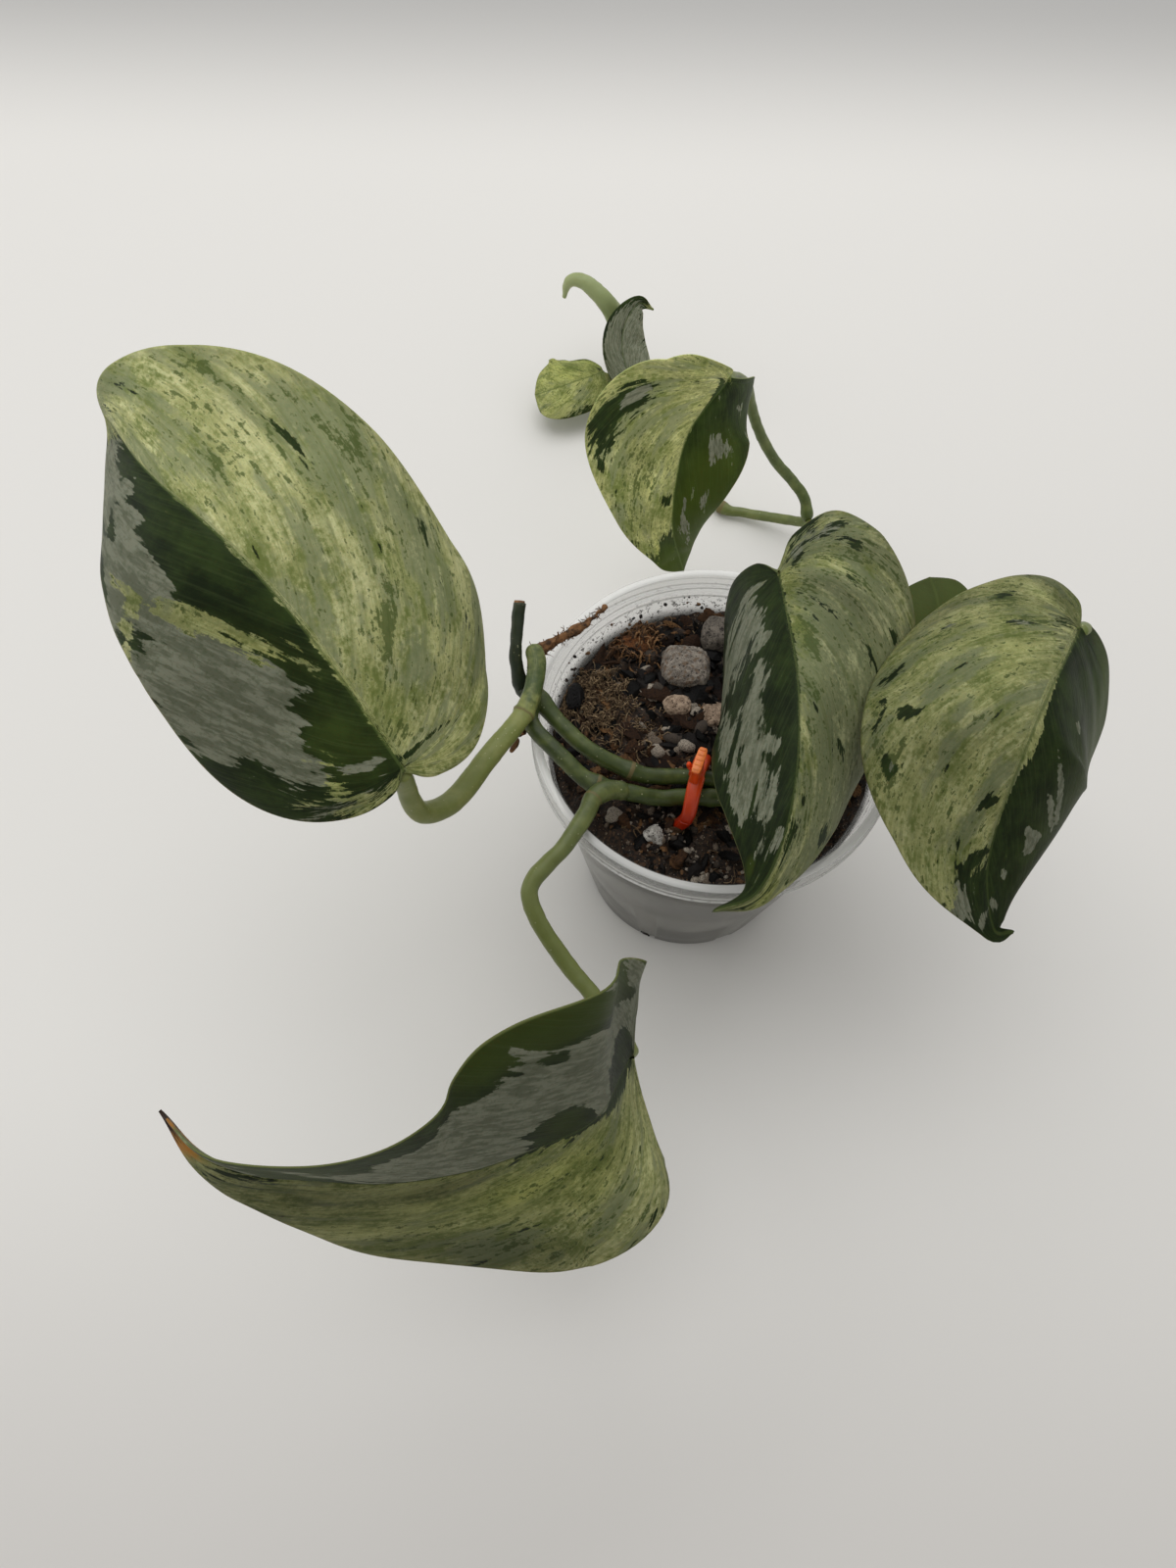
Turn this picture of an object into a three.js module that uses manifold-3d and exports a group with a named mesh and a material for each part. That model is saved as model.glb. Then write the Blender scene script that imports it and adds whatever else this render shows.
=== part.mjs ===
// A young scindapsus in a clear nursery pot: a loop of vine pinned to the soil, a second vine that
// trails over the back of the rim, eight petioled leaves, a rolled new leaf, a dead root and a cut
// stub. Millimetres, +Z up, origin at the centre of the pot's flat underside.
import * as THREE from 'three';
import { mergeVertices } from 'three/addons/utils/BufferGeometryUtils.js';
import Module from 'manifold-3d';

const wasm = await Module();
wasm.setup();

// Driving dimensions
const GAP = 0.3; // clearance between pieces that touch
const POT = {
  height: 85.5, rimRadius: 45, baseRadius: 29.5, wall: 1, floor: 1.4, lip: 7, flare: 3.2, sides: 48,
  slots: 8, slotWidth: 5, slotHeight: 4,
};
const SOIL = { level: 75.5, dip: 5, dipAngle: 135, lump: 1.1, rings: 7, sides: 32, seed: 7 };
const CHIPS = { count: 16, size: 1.8, spread: 1.6 }; // small bark chips that stand out of the soil
const STEM = 2; // radius of the vine
const BLADE = 0.8; // thickness of a leaf
const SEAT = 1.3; // depth below the start of the midrib at which a stalk ends
const STALK_NOTCH = 2; // radius kept free round the start of the midrib

// Half outlines of a leaf, in shares of its length and of its half width, from the stalk to the tip
const OUTLINES = {
  heart: [[0, 0], [-0.1, 0.18], [-0.12, 0.55], [0.08, 0.9], [0.32, 1], [0.6, 0.78], [0.82, 0.38],
    [0.93, 0.12], [1, 0]],
  ovate: [[0, 0], [-0.1, 0.13], [-0.12, 0.48], [0.08, 1.04], [0.32, 0.96], [0.6, 0.79], [0.82, 0.38],
    [0.93, 0.09], [1, 0]],
  wedge: [[0, 0], [-0.1, 0.06], [-0.12, 0.59], [0.08, 0.88], [0.32, 1], [0.6, 0.63], [0.82, 0.33],
    [0.93, 0.21], [1, 0]],
  dripTip: [[0, 0], [-0.1, 0.18], [-0.12, 0.55], [0.08, 0.9], [0.3, 1], [0.55, 0.8], [0.75, 0.44],
    [0.88, 0.13], [1, 0]],
  broadTip: [[0, 0], [-0.1, 0.09], [-0.12, 0.42], [0.08, 0.92], [0.3, 1.06], [0.55, 0.91],
    [0.75, 0.46], [0.88, 0.18], [1, 0]],
  longTip: [[0, 0], [-0.1, 0.21], [-0.12, 0.39], [0.08, 0.86], [0.28, 1.03], [0.48, 0.79],
    [0.66, 0.43], [0.82, 0.23], [0.94, 0.09], [1, 0]],
  blunt: [[0, 0], [-0.05, 0.2], [0, 0.6], [0.2, 0.92], [0.5, 1], [0.78, 0.92], [0.95, 0.6], [1, 0]],
};
const VEIN_START = 1.8; // how near to the stalk a vein leaves the rib
const VEIN_BEND = 1.35; // how much a vein swings towards the tip

// Leaves. rib: the midrib's points, face: which way the blade looks, roll: its turn about the midrib
// at base, middle and tip. Each half has its width, basal lobe, upward fold and downward curl.
const LEAVES = {
  a: {
    outline: 'ovate',
    rib: [[-67, -36, 126], [-81, -22, 146], [-96, -9, 158], [-115, 8, 159], [-132, 32, 148]],
    face: [-0.3, 0, 1], roll: [9, -16, -40],
    right: { width: 40, lobe: 0.55, fold: [-15, 7, 52], curl: [-56, -55, -28] },
    left: { width: 38.7, lobe: 0.37, fold: [-10, 7, 1], curl: [-36, -45, -23] },
  },
  b: {
    outline: 'longTip',
    rib: [[-19, -80, 77], [-29, -97, 87], [-61, -109, 93], [-92, -110, 111], [-107, -100, 110]],
    face: [0.1, 0, 1], roll: [-59, -69, -71],
    right: { width: 41.4, lobe: 0.17, fold: [2, 9, 19], curl: [37, -24, 14] },
    left: { width: 43.2, lobe: 0.08, fold: [-4, -5, 8], curl: [33, 15, -11] },
  },
  c: {
    outline: 'dripTip',
    rib: [[12, 24, 112], [13, -11, 121], [11, -37, 118], [5, -53, 111], [-4, -56, 105]],
    face: [0, 0, 1], roll: [35, 5, -14],
    right: { width: 30, lobe: 0.8, fold: [-5, -16, -16], curl: [-60, -68, -65] },
    left: { width: 31, lobe: 1, fold: [15, -23, -32], curl: [-54, -63, -58] },
  },
  d: {
    outline: 'broadTip',
    rib: [[72, 2, 126], [56, -26, 132.5], [52, -44, 112], [56, -55, 98], [60, -56, 99]],
    face: [0, 0, 1], roll: [-14, -7, 4],
    right: { width: 36, lobe: 1, fold: [-5, -7, 15], curl: [-62, -54, -48] },
    left: { width: 33.4, lobe: 0.55, fold: [-23, -8, 10], curl: [-38, -71, -67] },
  },
  e: {
    outline: 'blunt',
    rib: [[53, 8, 87], [54, 18, 92], [53.5, 28, 96], [52, 35.5, 97]],
    face: [0, 0.2, -1], roll: [0, 0, 0], small: true,
    right: { width: 11.5, lobe: 0.6, fold: [0, 0, 0], curl: [30, 30, 30] },
    left: { width: 11.5, lobe: 0.6, fold: [0, 0, 0], curl: [30, 30, 30] },
  },
  f: {
    outline: 'wedge',
    rib: [[5, 108, 88], [-5, 102, 71], [-7, 93, 45], [-1, 95, 16]],
    face: [0, -1, 0.3], roll: [-33, -6, -28],
    right: { width: 29.6, lobe: 0.48, fold: [10, 1, -5], curl: [-43, -26, -53] },
    left: { width: 22.4, lobe: 0.15, fold: [5, 14, -28], curl: [-59, -45, -48] },
  },
  g: {
    outline: 'heart',
    rib: [[-17, 175, 11], [-21, 183, 17], [-23.5, 189, 23], [-22.5, 194, 30], [-18, 199, 34],
      [-12.6, 199.6, 31]],
    face: [0, -1, 0.6], roll: [-30, -10, 0], small: true,
    right: { width: 10, lobe: 0.6, fold: [25, 15, 0], curl: [-30, -30, -20] },
    left: { width: 9, lobe: 0.6, fold: [10, 5, 0], curl: [-45, -45, -30] },
  },
  h: {
    outline: 'blunt',
    rib: [[-29.9, 191.2, 9], [-34.6, 185, 12.5], [-40.9, 179.7, 14.5], [-48.1, 177, 13.5], [-55, 177.3, 10]],
    face: [0, -0.3, 1], roll: [0, 0, 0], small: true,
    right: { width: 15, lobe: 0.6, fold: [0, -5, 0], curl: [-30, -30, -20] },
    left: { width: 12, lobe: 0.6, fold: [0, -5, 0], curl: [-30, -30, -20] },
  },
};

// Routes of the vines and stalks, with the radius at each point
const FRONT_VINE = {
  upper: [[24, -11, 66], [15, -13, 76], [4, -13.5, 79], [-6.3, -13, 80], [-16.6, -14, 82],
    [-24.3, -12.1, 84], [-30.5, -9.7, 86], [-36.7, -4.7, 87.5], [-41.6, 0.4, 89], [-44.5, 3, 90]],
  lower: [[-44.5, 3, 90], [-44.5, -5, 90], [-37.1, -12.8, 88.5], [-29.7, -18.3, 86],
    [-20.1, -19.5, 83.5], [-13.3, -19.4, 81], [-7, -18.4, 80], [4, -18, 79], [15, -17, 76], [24, -17, 66]],
};
const BACK_VINE = [[15, 12, 66], [20, 18, 78], [27, 27, 88], [34, 40, 90], [41, 62, 78], [44, 88, 42],
  [44, 107, 20], [43, 119, 13], [38.9, 124, 8.5], [33.3, 127, 6], [27.4, 129.6, 4], [21.5, 131.6, 3],
  [14, 134, 2.8], [1, 148, 2.6], [-9, 164, 2.8], [-15, 172, 4]];
const PETIOLES = {
  a: { radii: [2.1, 2.3, 2.5, 2.6, 2.4, 1.9], points: [[-44.9, 12.2, 97], [-43.5, 7.8, 96.2],
    [-43.8, 2.8, 95.2], [-44.8, -2.3, 94.8], [-47.1, -7.7, 95], [-52.9, -17.6, 96.6],
    [-58.3, -28, 98.5], [-61.7, -32.9, 101], [-65.2, -36, 105], [-66.8, -36.1, 110],
    [-67.3, -35.5, 117.5], [-67, -36, 126]] },
  b: { radii: [2.3, 1.95, 1.95, 1.9], points: [[-29, -19.5, 86.5], [-29, -26.7, 88.5],
    [-31.6, -32.3, 90], [-35.3, -36.6, 90], [-39, -40.6, 89], [-41.7, -43.8, 88], [-42.7, -46.7, 87],
    [-41.6, -50.1, 85], [-39, -54, 82], [-35.5, -58, 79], [-32.4, -61.4, 77], [-27, -67, 75],
    [-21, -75, 73.5], [-19, -80, 77]] },
  c: { radii: [2, 1.9, 1.8], points: [[22, -8, 68], [25, 2, 80], [24, 14, 93], [16, 23, 104],
    [12, 24.5, 112]] },
  d: { radii: [2.1, 2, 1.9], points: [[29, 2, 68], [34, 6, 82], [43, 10, 89.5], [56, 14, 98],
    [68, 14, 107], [75, 9, 114], [75, 5, 121]] },
  e: { radii: [1.6, 1.4], points: [[31, -9, 68], [35, -6, 84], [43, -3, 88.8], [50, 2, 88],
    [53, 8, 87]] },
  f: { radii: [1.9, 1.75, 1.7, 1.5], points: [[42.5, 120, 13.5], [40.3, 124.3, 20], [35.3, 126.6, 26],
    [27.9, 127.2, 35], [20.9, 128, 47], [16.6, 128.8, 58], [14.4, 127.2, 66], [11.3, 122.6, 74],
    [7.5, 115.5, 82], [5, 108, 88]] },
  g: { radii: [1.4, 1.2], points: [[-14, 167, 4], [-15, 171, 6], [-17, 174, 10.5]] },
  h: { radii: [1.3, 1.1], points: [[-15, 171, 3], [-19, 177, 3.5], [-25, 184, 5.5], [-29.9, 191.2, 8]] },
};
const NEW_LEAF = { radii: [1.6, 3.2, 4.2, 4.6, 4.2, 3.6, 3, 2.2, 0.5], points: [[-19, 178, 6],
  [-21.5, 190, 11], [-23.5, 198, 18], [-26, 202, 25], [-30.5, 203.7, 31], [-34.4, 205.8, 33.5],
  [-38.2, 207.8, 35], [-42.1, 208.7, 35], [-44.3, 209.4, 32], [-45.5, 209.5, 26]] };
const STUB = { radii: [1.7, 1.5, 1.5], points: [[-47.2, 4.5, 90], [-48.6, 9.5, 96.5], [-48, 20, 103.5]] };
const DEAD_ROOT = { radii: [1.4, 2.6, 2.2, 1.6, 1.1, 0.9, 0.6, 0.4], points: [[-44, 4.5, 91],
  [-44.5, 12, 92], [-42.2, 14.6, 92], [-39.7, 16.6, 92], [-36.9, 18.8, 91.5], [-33, 22.1, 91],
  [-29.7, 26.1, 90], [-27.5, 29.3, 89]] };
const NODES = [ // swellings where stalks leave the vine: centre and radius
  { at: [-44.5, 1, 90], radius: 2.9 }, { at: [-29.5, -18.5, 86], radius: 2.6 },
];
const BACK_NODES = [{ at: [42.5, 120, 12.5], radius: 2.5 }, { at: [14, 134, 3.1], radius: 2.6 }];
const CLIP = {
  x: -5.2, turn: -18, wire: 3, width: 3.2, span: [-26, -7], crown: 89, foot: 67, tabWidth: 2.4,
  tabHeight: 7, tabLength: 7,
};
const STONES = {
  pumice_1: { at: [-7, 20, 76], size: [7, 6.5, 5], colour: 0x8f8478 },
  pumice_2: { at: [3, 30, 76], size: [5.6, 5.4, 5.2], colour: 0x6d6259 },
  pumice_3: { at: [-9, 9, 76], size: [4.2, 3.2, 2.8], colour: 0x94826f },
  pumice_4: { at: [1, 6.5, 76], size: [4.2, 4.4, 3], colour: 0x9a7f68 },
  perlite_1: { at: [-14, -27, 76], size: [3, 3, 2.6], colour: 0xb9b2a6 },
  bark_1: { at: [-20, 28, 73.5], size: [6.5, 3.6, 2.6], colour: 0x7a5330 },
  bark_2: { at: [11, 35.5, 75], size: [3, 1.8, 2.2], colour: 0x7c3f22 },
  charcoal_1: { at: [-34.5, 11, 74], size: [2.6, 4.6, 3], colour: 0x1b1a1c },
};

// Curves
const vector = (p) => new THREE.Vector3(...p);
const path = (points) => new THREE.CatmullRomCurve3(points.map(vector), false, 'catmullrom');
const degrees = THREE.MathUtils.degToRad;

// A value given at base, middle and tip, read at share x of the length
function along([base, middle, tip], x) {
  const s = THREE.MathUtils.clamp(x, 0, 1);
  return base * (1 - s) * (1 - 2 * s) + middle * 4 * s * (1 - s) + tip * s * (2 * s - 1);
}

function listAlong(values, x) {
  const t = x * (values.length - 1);
  const i = Math.min(Math.floor(t), values.length - 2);
  return THREE.MathUtils.lerp(values[i], values[i + 1], t - i);
}

// Turns positions and triangles into a geometry whose shared points are merged
function meshOf(points, triangles) {
  const geometry = new THREE.BufferGeometry();
  geometry.setAttribute('position', new THREE.Float32BufferAttribute(points.flat(), 3));
  geometry.setIndex(triangles.flat());
  return geometry;
}

// Solids
function solid(geometry) {
  const bare = geometry.clone();
  bare.deleteAttribute('normal');
  bare.deleteAttribute('uv');
  const merged = mergeVertices(bare, 1e-4);
  const vertProperties = new Float32Array(merged.attributes.position.array);
  const triVerts = new Uint32Array(merged.index.array);
  return new wasm.Manifold(new wasm.Mesh({ numProp: 3, vertProperties, triVerts }));
}

function geometryOf(body) {
  const mesh = body.getMesh();
  const geometry = new THREE.BufferGeometry();
  geometry.setAttribute('position', new THREE.Float32BufferAttribute(mesh.vertProperties, 3));
  geometry.setIndex([...mesh.triVerts]);
  return geometry;
}

// The largest body of a solid that cutting has left in pieces
function mainBody(body) {
  return body.decompose().sort((p, q) => q.volume() - p.volume())[0];
}

// A round tube of changing radius along a route, closed by flat ends
function tube({ points, radii }, grow = 0, sides = 8, stepsPerPoint = 2) {
  const curve = path(points);
  const steps = (points.length - 1) * stepsPerPoint;
  const frames = curve.computeFrenetFrames(steps, false);
  const rings = [];
  for (let i = 0; i <= steps; i += 1) {
    const centre = curve.getPointAt(i / steps);
    const radius = listAlong(radii, i / steps) + grow;
    for (let k = 0; k < sides; k += 1) {
      const turn = (2 * Math.PI * k) / sides;
      const spoke = frames.normals[i].clone().multiplyScalar(Math.cos(turn) * radius);
      spoke.addScaledVector(frames.binormals[i], Math.sin(turn) * radius);
      rings.push(centre.clone().add(spoke).toArray());
    }
  }
  const first = rings.push(curve.getPointAt(0).toArray()) - 1;
  const last = rings.push(curve.getPointAt(1).toArray()) - 1;
  const triangles = [];
  for (let k = 0; k < sides; k += 1) {
    const next = (k + 1) % sides;
    for (let i = 0; i < steps; i += 1) {
      const [a, b] = [i * sides + k, i * sides + next];
      triangles.push([a, b, a + sides], [b, b + sides, a + sides]);
    }
    triangles.push([first, next, k], [last, steps * sides + k, steps * sides + next]);
  }
  return meshOf(rings, triangles);
}

const vine = (points) => ({ points, radii: [STEM, STEM] });

function knot(at, radius) {
  return new THREE.IcosahedronGeometry(radius, 1).translate(...at);
}

// Leaf form: a flat heart outline folded and curled about a curved midrib
class Leaf {
  constructor(shape) {
    this.shape = shape;
    this.curve = path(shape.rib);
    this.length = this.curve.getLength();
    this.outline = new THREE.SplineCurve(
      OUTLINES[shape.outline].map(([x, y]) => new THREE.Vector2(x, y)),
    );
  }

  // Midrib point, tangent, facing direction and rightward direction at distance x
  frame(x) {
    const share = THREE.MathUtils.clamp(x / this.length, 0, 1);
    const tangent = this.curve.getTangentAt(share);
    const point = this.curve.getPointAt(share).addScaledVector(tangent, Math.min(x, 0));
    const flat = vector(this.shape.face);
    flat.addScaledVector(tangent, -flat.dot(tangent)).normalize();
    const turn = degrees(along(this.shape.roll, share));
    const up = flat.clone().applyAxisAngle(tangent, turn);
    return { point, up, right: tangent.clone().cross(up) };
  }

  // Flat place (x along the rib, y out from it, in mm) to its place in space
  place(x, y, side) {
    const half = side > 0 ? this.shape.right : this.shape.left;
    const { point, up, right } = this.frame(x);
    const fold = degrees(along(half.fold, x / this.length));
    const bend = degrees(along(half.curl, x / this.length)) / half.width || 1e-6;
    const out = (Math.sin(fold + bend * y) - Math.sin(fold)) / bend;
    const rise = (Math.cos(fold) - Math.cos(fold + bend * y)) / bend;
    return point.addScaledVector(right, side * out).addScaledVector(up, rise);
  }

  // Point at share v along the margin and share u of the way out from the rib to it
  at(v, u, side) {
    const half = side > 0 ? this.shape.right : this.shape.left;
    const edge = this.outline.getPoint(v);
    const edgeX = (edge.x < 0 ? edge.x * half.lobe : edge.x) * this.length;
    const ribX = Math.max(edge.x, 0) ** VEIN_START * this.length;
    return this.place(ribX + (edgeX - ribX) * u ** VEIN_BEND, u * edge.y * half.width, side);
  }
}

// Closed blade of even thickness over the leaf form, with rows along the margin and columns across.
// With grow it is the room that a stalk keeps out of: wider all round and taller above.
function blade(shape, grow = 0, headroom = 0) {
  const leaf = new Leaf(shape);
  const rows = shape.small ? 14 : 20;
  const columns = shape.small ? 4 : 6;
  const spread = 1 + (2 * grow) / shape.right.width;
  const points = [];
  const index = new Map();
  const at = (i, j) => {
    const pinched = i === 0 || i === rows;
    const key = pinched ? `${i}` : `${i},${j}`;
    if (!index.has(key)) {
      const u = pinched ? 0 : (spread * Math.abs(j)) / columns;
      index.set(key, points.push(leaf.at(i / rows, u, j < 0 ? -1 : 1)) - 1);
    }
    return index.get(key);
  };
  const faces = [];
  for (let i = 0; i < rows; i += 1) {
    for (let j = -columns; j < columns; j += 1) {
      const [a, b, c, d] = [at(i, j), at(i, j + 1), at(i + 1, j + 1), at(i + 1, j)];
      const pair = j < 0 ? [[a, b, d], [b, c, d]] : [[a, b, c], [a, c, d]];
      faces.push(...pair.filter(([p, q, r]) => p !== q && q !== r && r !== p));
    }
  }
  const normals = points.map(() => new THREE.Vector3());
  for (const [p, q, r] of faces) {
    const across = points[q].clone().sub(points[p]).cross(points[r].clone().sub(points[p]));
    for (const corner of [p, q, r]) normals[corner].add(across);
  }
  const shifted = (distance) => points.map(
    (p, i) => p.clone().addScaledVector(normals[i].clone().normalize(), distance).toArray(),
  );
  const count = points.length;
  const triangles = [];
  const rim = new Map();
  for (const [p, q, r] of faces) {
    triangles.push([p, q, r], [p + count, r + count, q + count]);
    for (const [s, e] of [[p, q], [q, r], [r, p]]) {
      if (!rim.delete(`${e},${s}`)) rim.set(`${s},${e}`, [s, e]);
    }
  }
  for (const [s, e] of rim.values()) triangles.push([s, s + count, e], [e, s + count, e + count]);
  const half = BLADE / 2 + grow;
  return meshOf([...shifted(half + headroom), ...shifted(-half)], triangles);
}

// Pot
function potShell() {
  const { height, rimRadius, baseRadius, wall, floor, lip, flare } = POT;
  const neck = rimRadius - flare; // outside of the wall where the lip meets it
  const profile = [
    [0, 0], [baseRadius - 1, 0], [baseRadius, 1], [neck, height - lip],
    [rimRadius - 0.9, height - lip], [rimRadius, height - lip + 1], [rimRadius, height - 1],
    [rimRadius - 0.8, height], [rimRadius - 2.2, height], [rimRadius - 3, height - 1.2],
    [neck - wall, height - lip], [baseRadius - wall, floor + 0.8], [baseRadius - 2, floor], [0, floor],
  ].map(([r, z]) => new THREE.Vector2(r, z));
  return new THREE.LatheGeometry(profile, POT.sides).rotateX(Math.PI / 2);
}

function slot(turn) {
  const box = new THREE.BoxGeometry(6, POT.slotWidth, 2 * POT.slotHeight);
  return box.translate(POT.baseRadius, 0, 0).rotateZ(turn);
}

function pot() {
  let body = solid(potShell());
  for (let i = 0; i < POT.slots; i += 1) {
    body = body.subtract(solid(slot((2 * Math.PI * (i + 0.5)) / POT.slots)));
  }
  return body;
}

// Soil: a bed inside the wall whose top dips at the back left and is broken by lumps and chips
const random = (() => {
  let state = SOIL.seed;
  return () => {
    state = (state * 16807) % 2147483647;
    return state / 2147483647;
  };
})();

function soilTop(x, y) {
  const towardsDip = (x * Math.cos(degrees(SOIL.dipAngle)) + y * Math.sin(degrees(SOIL.dipAngle)))
    / POT.rimRadius;
  const ripple = Math.sin(0.55 * x + 1.3) * Math.cos(0.5 * y + 0.4) + Math.sin(0.9 * y - 0.6 * x);
  return SOIL.level - SOIL.dip * Math.max(towardsDip, 0) ** 2 + SOIL.lump * 0.5 * ripple;
}

function innerRadius(z) {
  const top = POT.height - POT.lip;
  const [low, high] = [POT.baseRadius - POT.wall, POT.rimRadius - POT.flare - POT.wall];
  return low + ((high - low) * (z - POT.floor - 0.8)) / (top - POT.floor - 0.8);
}

function soilBed() {
  const { rings, sides } = SOIL;
  const bottom = POT.floor + GAP + 0.8;
  const facet = Math.cos(Math.PI / POT.sides); // the pot's flats come nearer than its corners
  const points = [[0, 0, soilTop(0, 0)]];
  for (let i = 1; i <= rings; i += 1) {
    for (let k = 0; k < sides; k += 1) {
      const turn = (2 * Math.PI * k) / sides;
      const radius = (innerRadius(SOIL.level - SOIL.dip) * facet - GAP) * (i / rings);
      const [x, y] = [radius * Math.cos(turn), radius * Math.sin(turn)];
      points.push([x, y, i === rings ? SOIL.level - SOIL.dip - 1 : soilTop(x, y)]);
    }
  }
  for (let k = 0; k < sides; k += 1) {
    const turn = (2 * Math.PI * k) / sides;
    const radius = innerRadius(bottom) * facet - GAP;
    points.push([radius * Math.cos(turn), radius * Math.sin(turn), bottom]);
  }
  const base = points.push([0, 0, bottom]) - 1;
  const triangles = [];
  for (let k = 0; k < sides; k += 1) {
    const next = (k + 1) % sides;
    triangles.push([0, 1 + k, 1 + next]);
    for (let i = 0; i < rings; i += 1) {
      const [a, b] = [1 + i * sides + k, 1 + i * sides + next];
      triangles.push([a, a + sides, b], [b, a + sides, b + sides]);
    }
    triangles.push([base, base - sides + next, base - sides + k]);
  }
  return meshOf(points, triangles);
}

function chip() {
  const turn = 2 * Math.PI * random();
  const reach = (innerRadius(SOIL.level - SOIL.dip) - 6) * Math.sqrt(random());
  const [x, y] = [reach * Math.cos(turn), reach * Math.sin(turn)];
  const piece = new THREE.IcosahedronGeometry(CHIPS.size + CHIPS.spread * random());
  piece.scale(1.4, 1, 0.7).rotateZ(2 * Math.PI * random()).rotateX(0.6 * (random() - 0.5));
  return piece.translate(x, y, soilTop(x, y));
}

// A stone is a ball with uneven faces
function stone({ at, size }, grow = 0) {
  const detail = size[0] > 5 ? 2 : 1;
  const ball = new THREE.IcosahedronGeometry(1, detail).deleteAttribute('uv');
  const geometry = mergeVertices(ball.deleteAttribute('normal'), 1e-4);
  const rough = geometry.attributes.position;
  for (let i = 0; i < rough.count; i += 1) {
    const p = new THREE.Vector3().fromBufferAttribute(rough, i);
    const dent = 1 + 0.09 * Math.sin(5 * p.x + at[0]) * Math.cos(4 * p.y + at[1]) - 0.06 * Math.abs(p.z);
    p.multiplyScalar(dent);
    rough.setXYZ(i, ...size.map((s, axis) => p.getComponent(axis) * (s + grow)));
  }
  return geometry.translate(...at);
}

// Stem clip: a flat arch over both arms of the vine, its feet in the soil, with a grip on its crown
function clipShape(grow = 0) {
  const { x, turn, span: [front, back], crown, foot, wire, width } = CLIP;
  const { tabWidth, tabHeight, tabLength } = CLIP;
  const [middle, bow] = [(front + back) / 2, (back - front) / 2];
  const arch = new THREE.Shape();
  arch.moveTo(front - 1 - grow, foot - grow);
  arch.lineTo(front - grow, crown - bow);
  arch.absellipse(middle, crown - bow, bow + grow, bow + grow, Math.PI, 0, true);
  arch.lineTo(back + grow, foot - grow);
  arch.lineTo(back - wire - grow, foot - grow);
  arch.lineTo(back - wire - grow, crown - bow);
  arch.absellipse(middle, crown - bow, bow - wire - grow, bow - wire - grow, 0, Math.PI, false);
  arch.lineTo(front - 1 + wire + grow, foot - grow);
  arch.closePath();
  const depth = width + 2 * grow;
  const bar = new THREE.ExtrudeGeometry(arch, { depth, bevelEnabled: false, curveSegments: 10 });
  // Shape plane to the upright plane across the vine: its x to Y, its y to Z, its depth to X
  bar.rotateX(Math.PI / 2).rotateZ(Math.PI / 2).translate(-depth / 2, -middle, 0);
  const tab = new THREE.BoxGeometry(tabWidth + 2 * grow, tabLength + 2 * grow, tabHeight + 2);
  tab.translate(0, 0, crown + tabHeight / 2 - 2);
  const stand = (piece) => solid(piece.rotateZ(degrees(turn)).translate(x, middle, 0));
  return stand(bar).add(stand(tab));
}

// Assembly
const plant = new THREE.Group();

function place(name, body, colour, roughness = 0.6, opacity = 1) {
  const material = new THREE.MeshStandardMaterial({ color: colour, roughness, metalness: 0 });
  material.transparent = opacity < 1;
  material.opacity = opacity;
  const mesh = new THREE.Mesh(body.isBufferGeometry ? body : geometryOf(body), material);
  mesh.name = name;
  plant.add(mesh);
}

function joined(route, swellings, grow = 0) {
  const body = route.map((points) => solid(tube(vine(points), grow))).reduce((p, q) => p.add(q));
  return swellings.reduce((p, { at, radius }) => p.add(solid(knot(at, radius + grow))), body);
}

const frontArms = [FRONT_VINE.upper, FRONT_VINE.lower];
const frontVine = joined(frontArms, NODES);
const backVine = joined([BACK_VINE], BACK_NODES);
const grownVines = joined(frontArms, NODES, GAP).add(joined([BACK_VINE], BACK_NODES, GAP));

place('pot', pot(), 0xd4d6d2, 0.2, 0.45);
place('vine_front', frontVine, 0x3c4a26, 0.5);
place('vine_back', backVine, 0x46552c, 0.5);

for (const [name, shape] of Object.entries(LEAVES)) {
  place(`leaf_${name}`, blade(shape), name === 'e' ? 0x5b6634 : 0x6f7a4c, 0.45);
}

// Stalks are cut clear of the blade they carry, of the vine they leave and of the stalk before them
let taken = grownVines;
for (const [name, route] of Object.entries(PETIOLES)) {
  const { point, up } = new Leaf(LEAVES[name]).frame(0);
  const notch = solid(knot(point.toArray(), STALK_NOTCH));
  const bladeRoom = solid(blade(LEAVES[name], GAP, STEM)).add(notch);
  route.points.splice(-1, 1, point.addScaledVector(up, -SEAT).toArray());
  const stalk = mainBody(solid(tube(route)).subtract(bladeRoom).subtract(taken));
  taken = taken.add(solid(tube(route, GAP)));
  place(`petiole_${name}`, stalk, 0x76823f, 0.5);
}
const sheathed = solid(tube(NEW_LEAF)).subtract(solid(blade(LEAVES.g, GAP)));
const newLeaf = mainBody(sheathed.subtract(taken));
place('new_leaf', newLeaf, 0x8f9c5c, 0.5);
const stub = mainBody(solid(tube(STUB)).subtract(taken));
place('cut_stub', stub, 0x25301c, 0.6);
taken = taken.add(solid(tube(STUB, GAP)));
const root = mainBody(solid(tube(DEAD_ROOT)).subtract(taken));
place('dead_root', root, 0x5a3c22, 0.9);
const clip = clipShape();
place('stem_clip', clip, 0xc23a10, 0.4);

let soil = solid(soilBed());
for (let i = 0; i < CHIPS.count; i += 1) soil = soil.add(solid(chip()));
soil = soil.subtract(taken).subtract(clipShape(GAP));
for (const [name, shape] of Object.entries(STONES)) {
  const body = mainBody(solid(stone(shape)).subtract(taken).subtract(clipShape(GAP)));
  place(name, body, shape.colour, 0.95);
  soil = soil.subtract(solid(stone(shape, GAP)));
}
place('soil', mainBody(soil), 0x35281e, 1);

export default plant;
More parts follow.
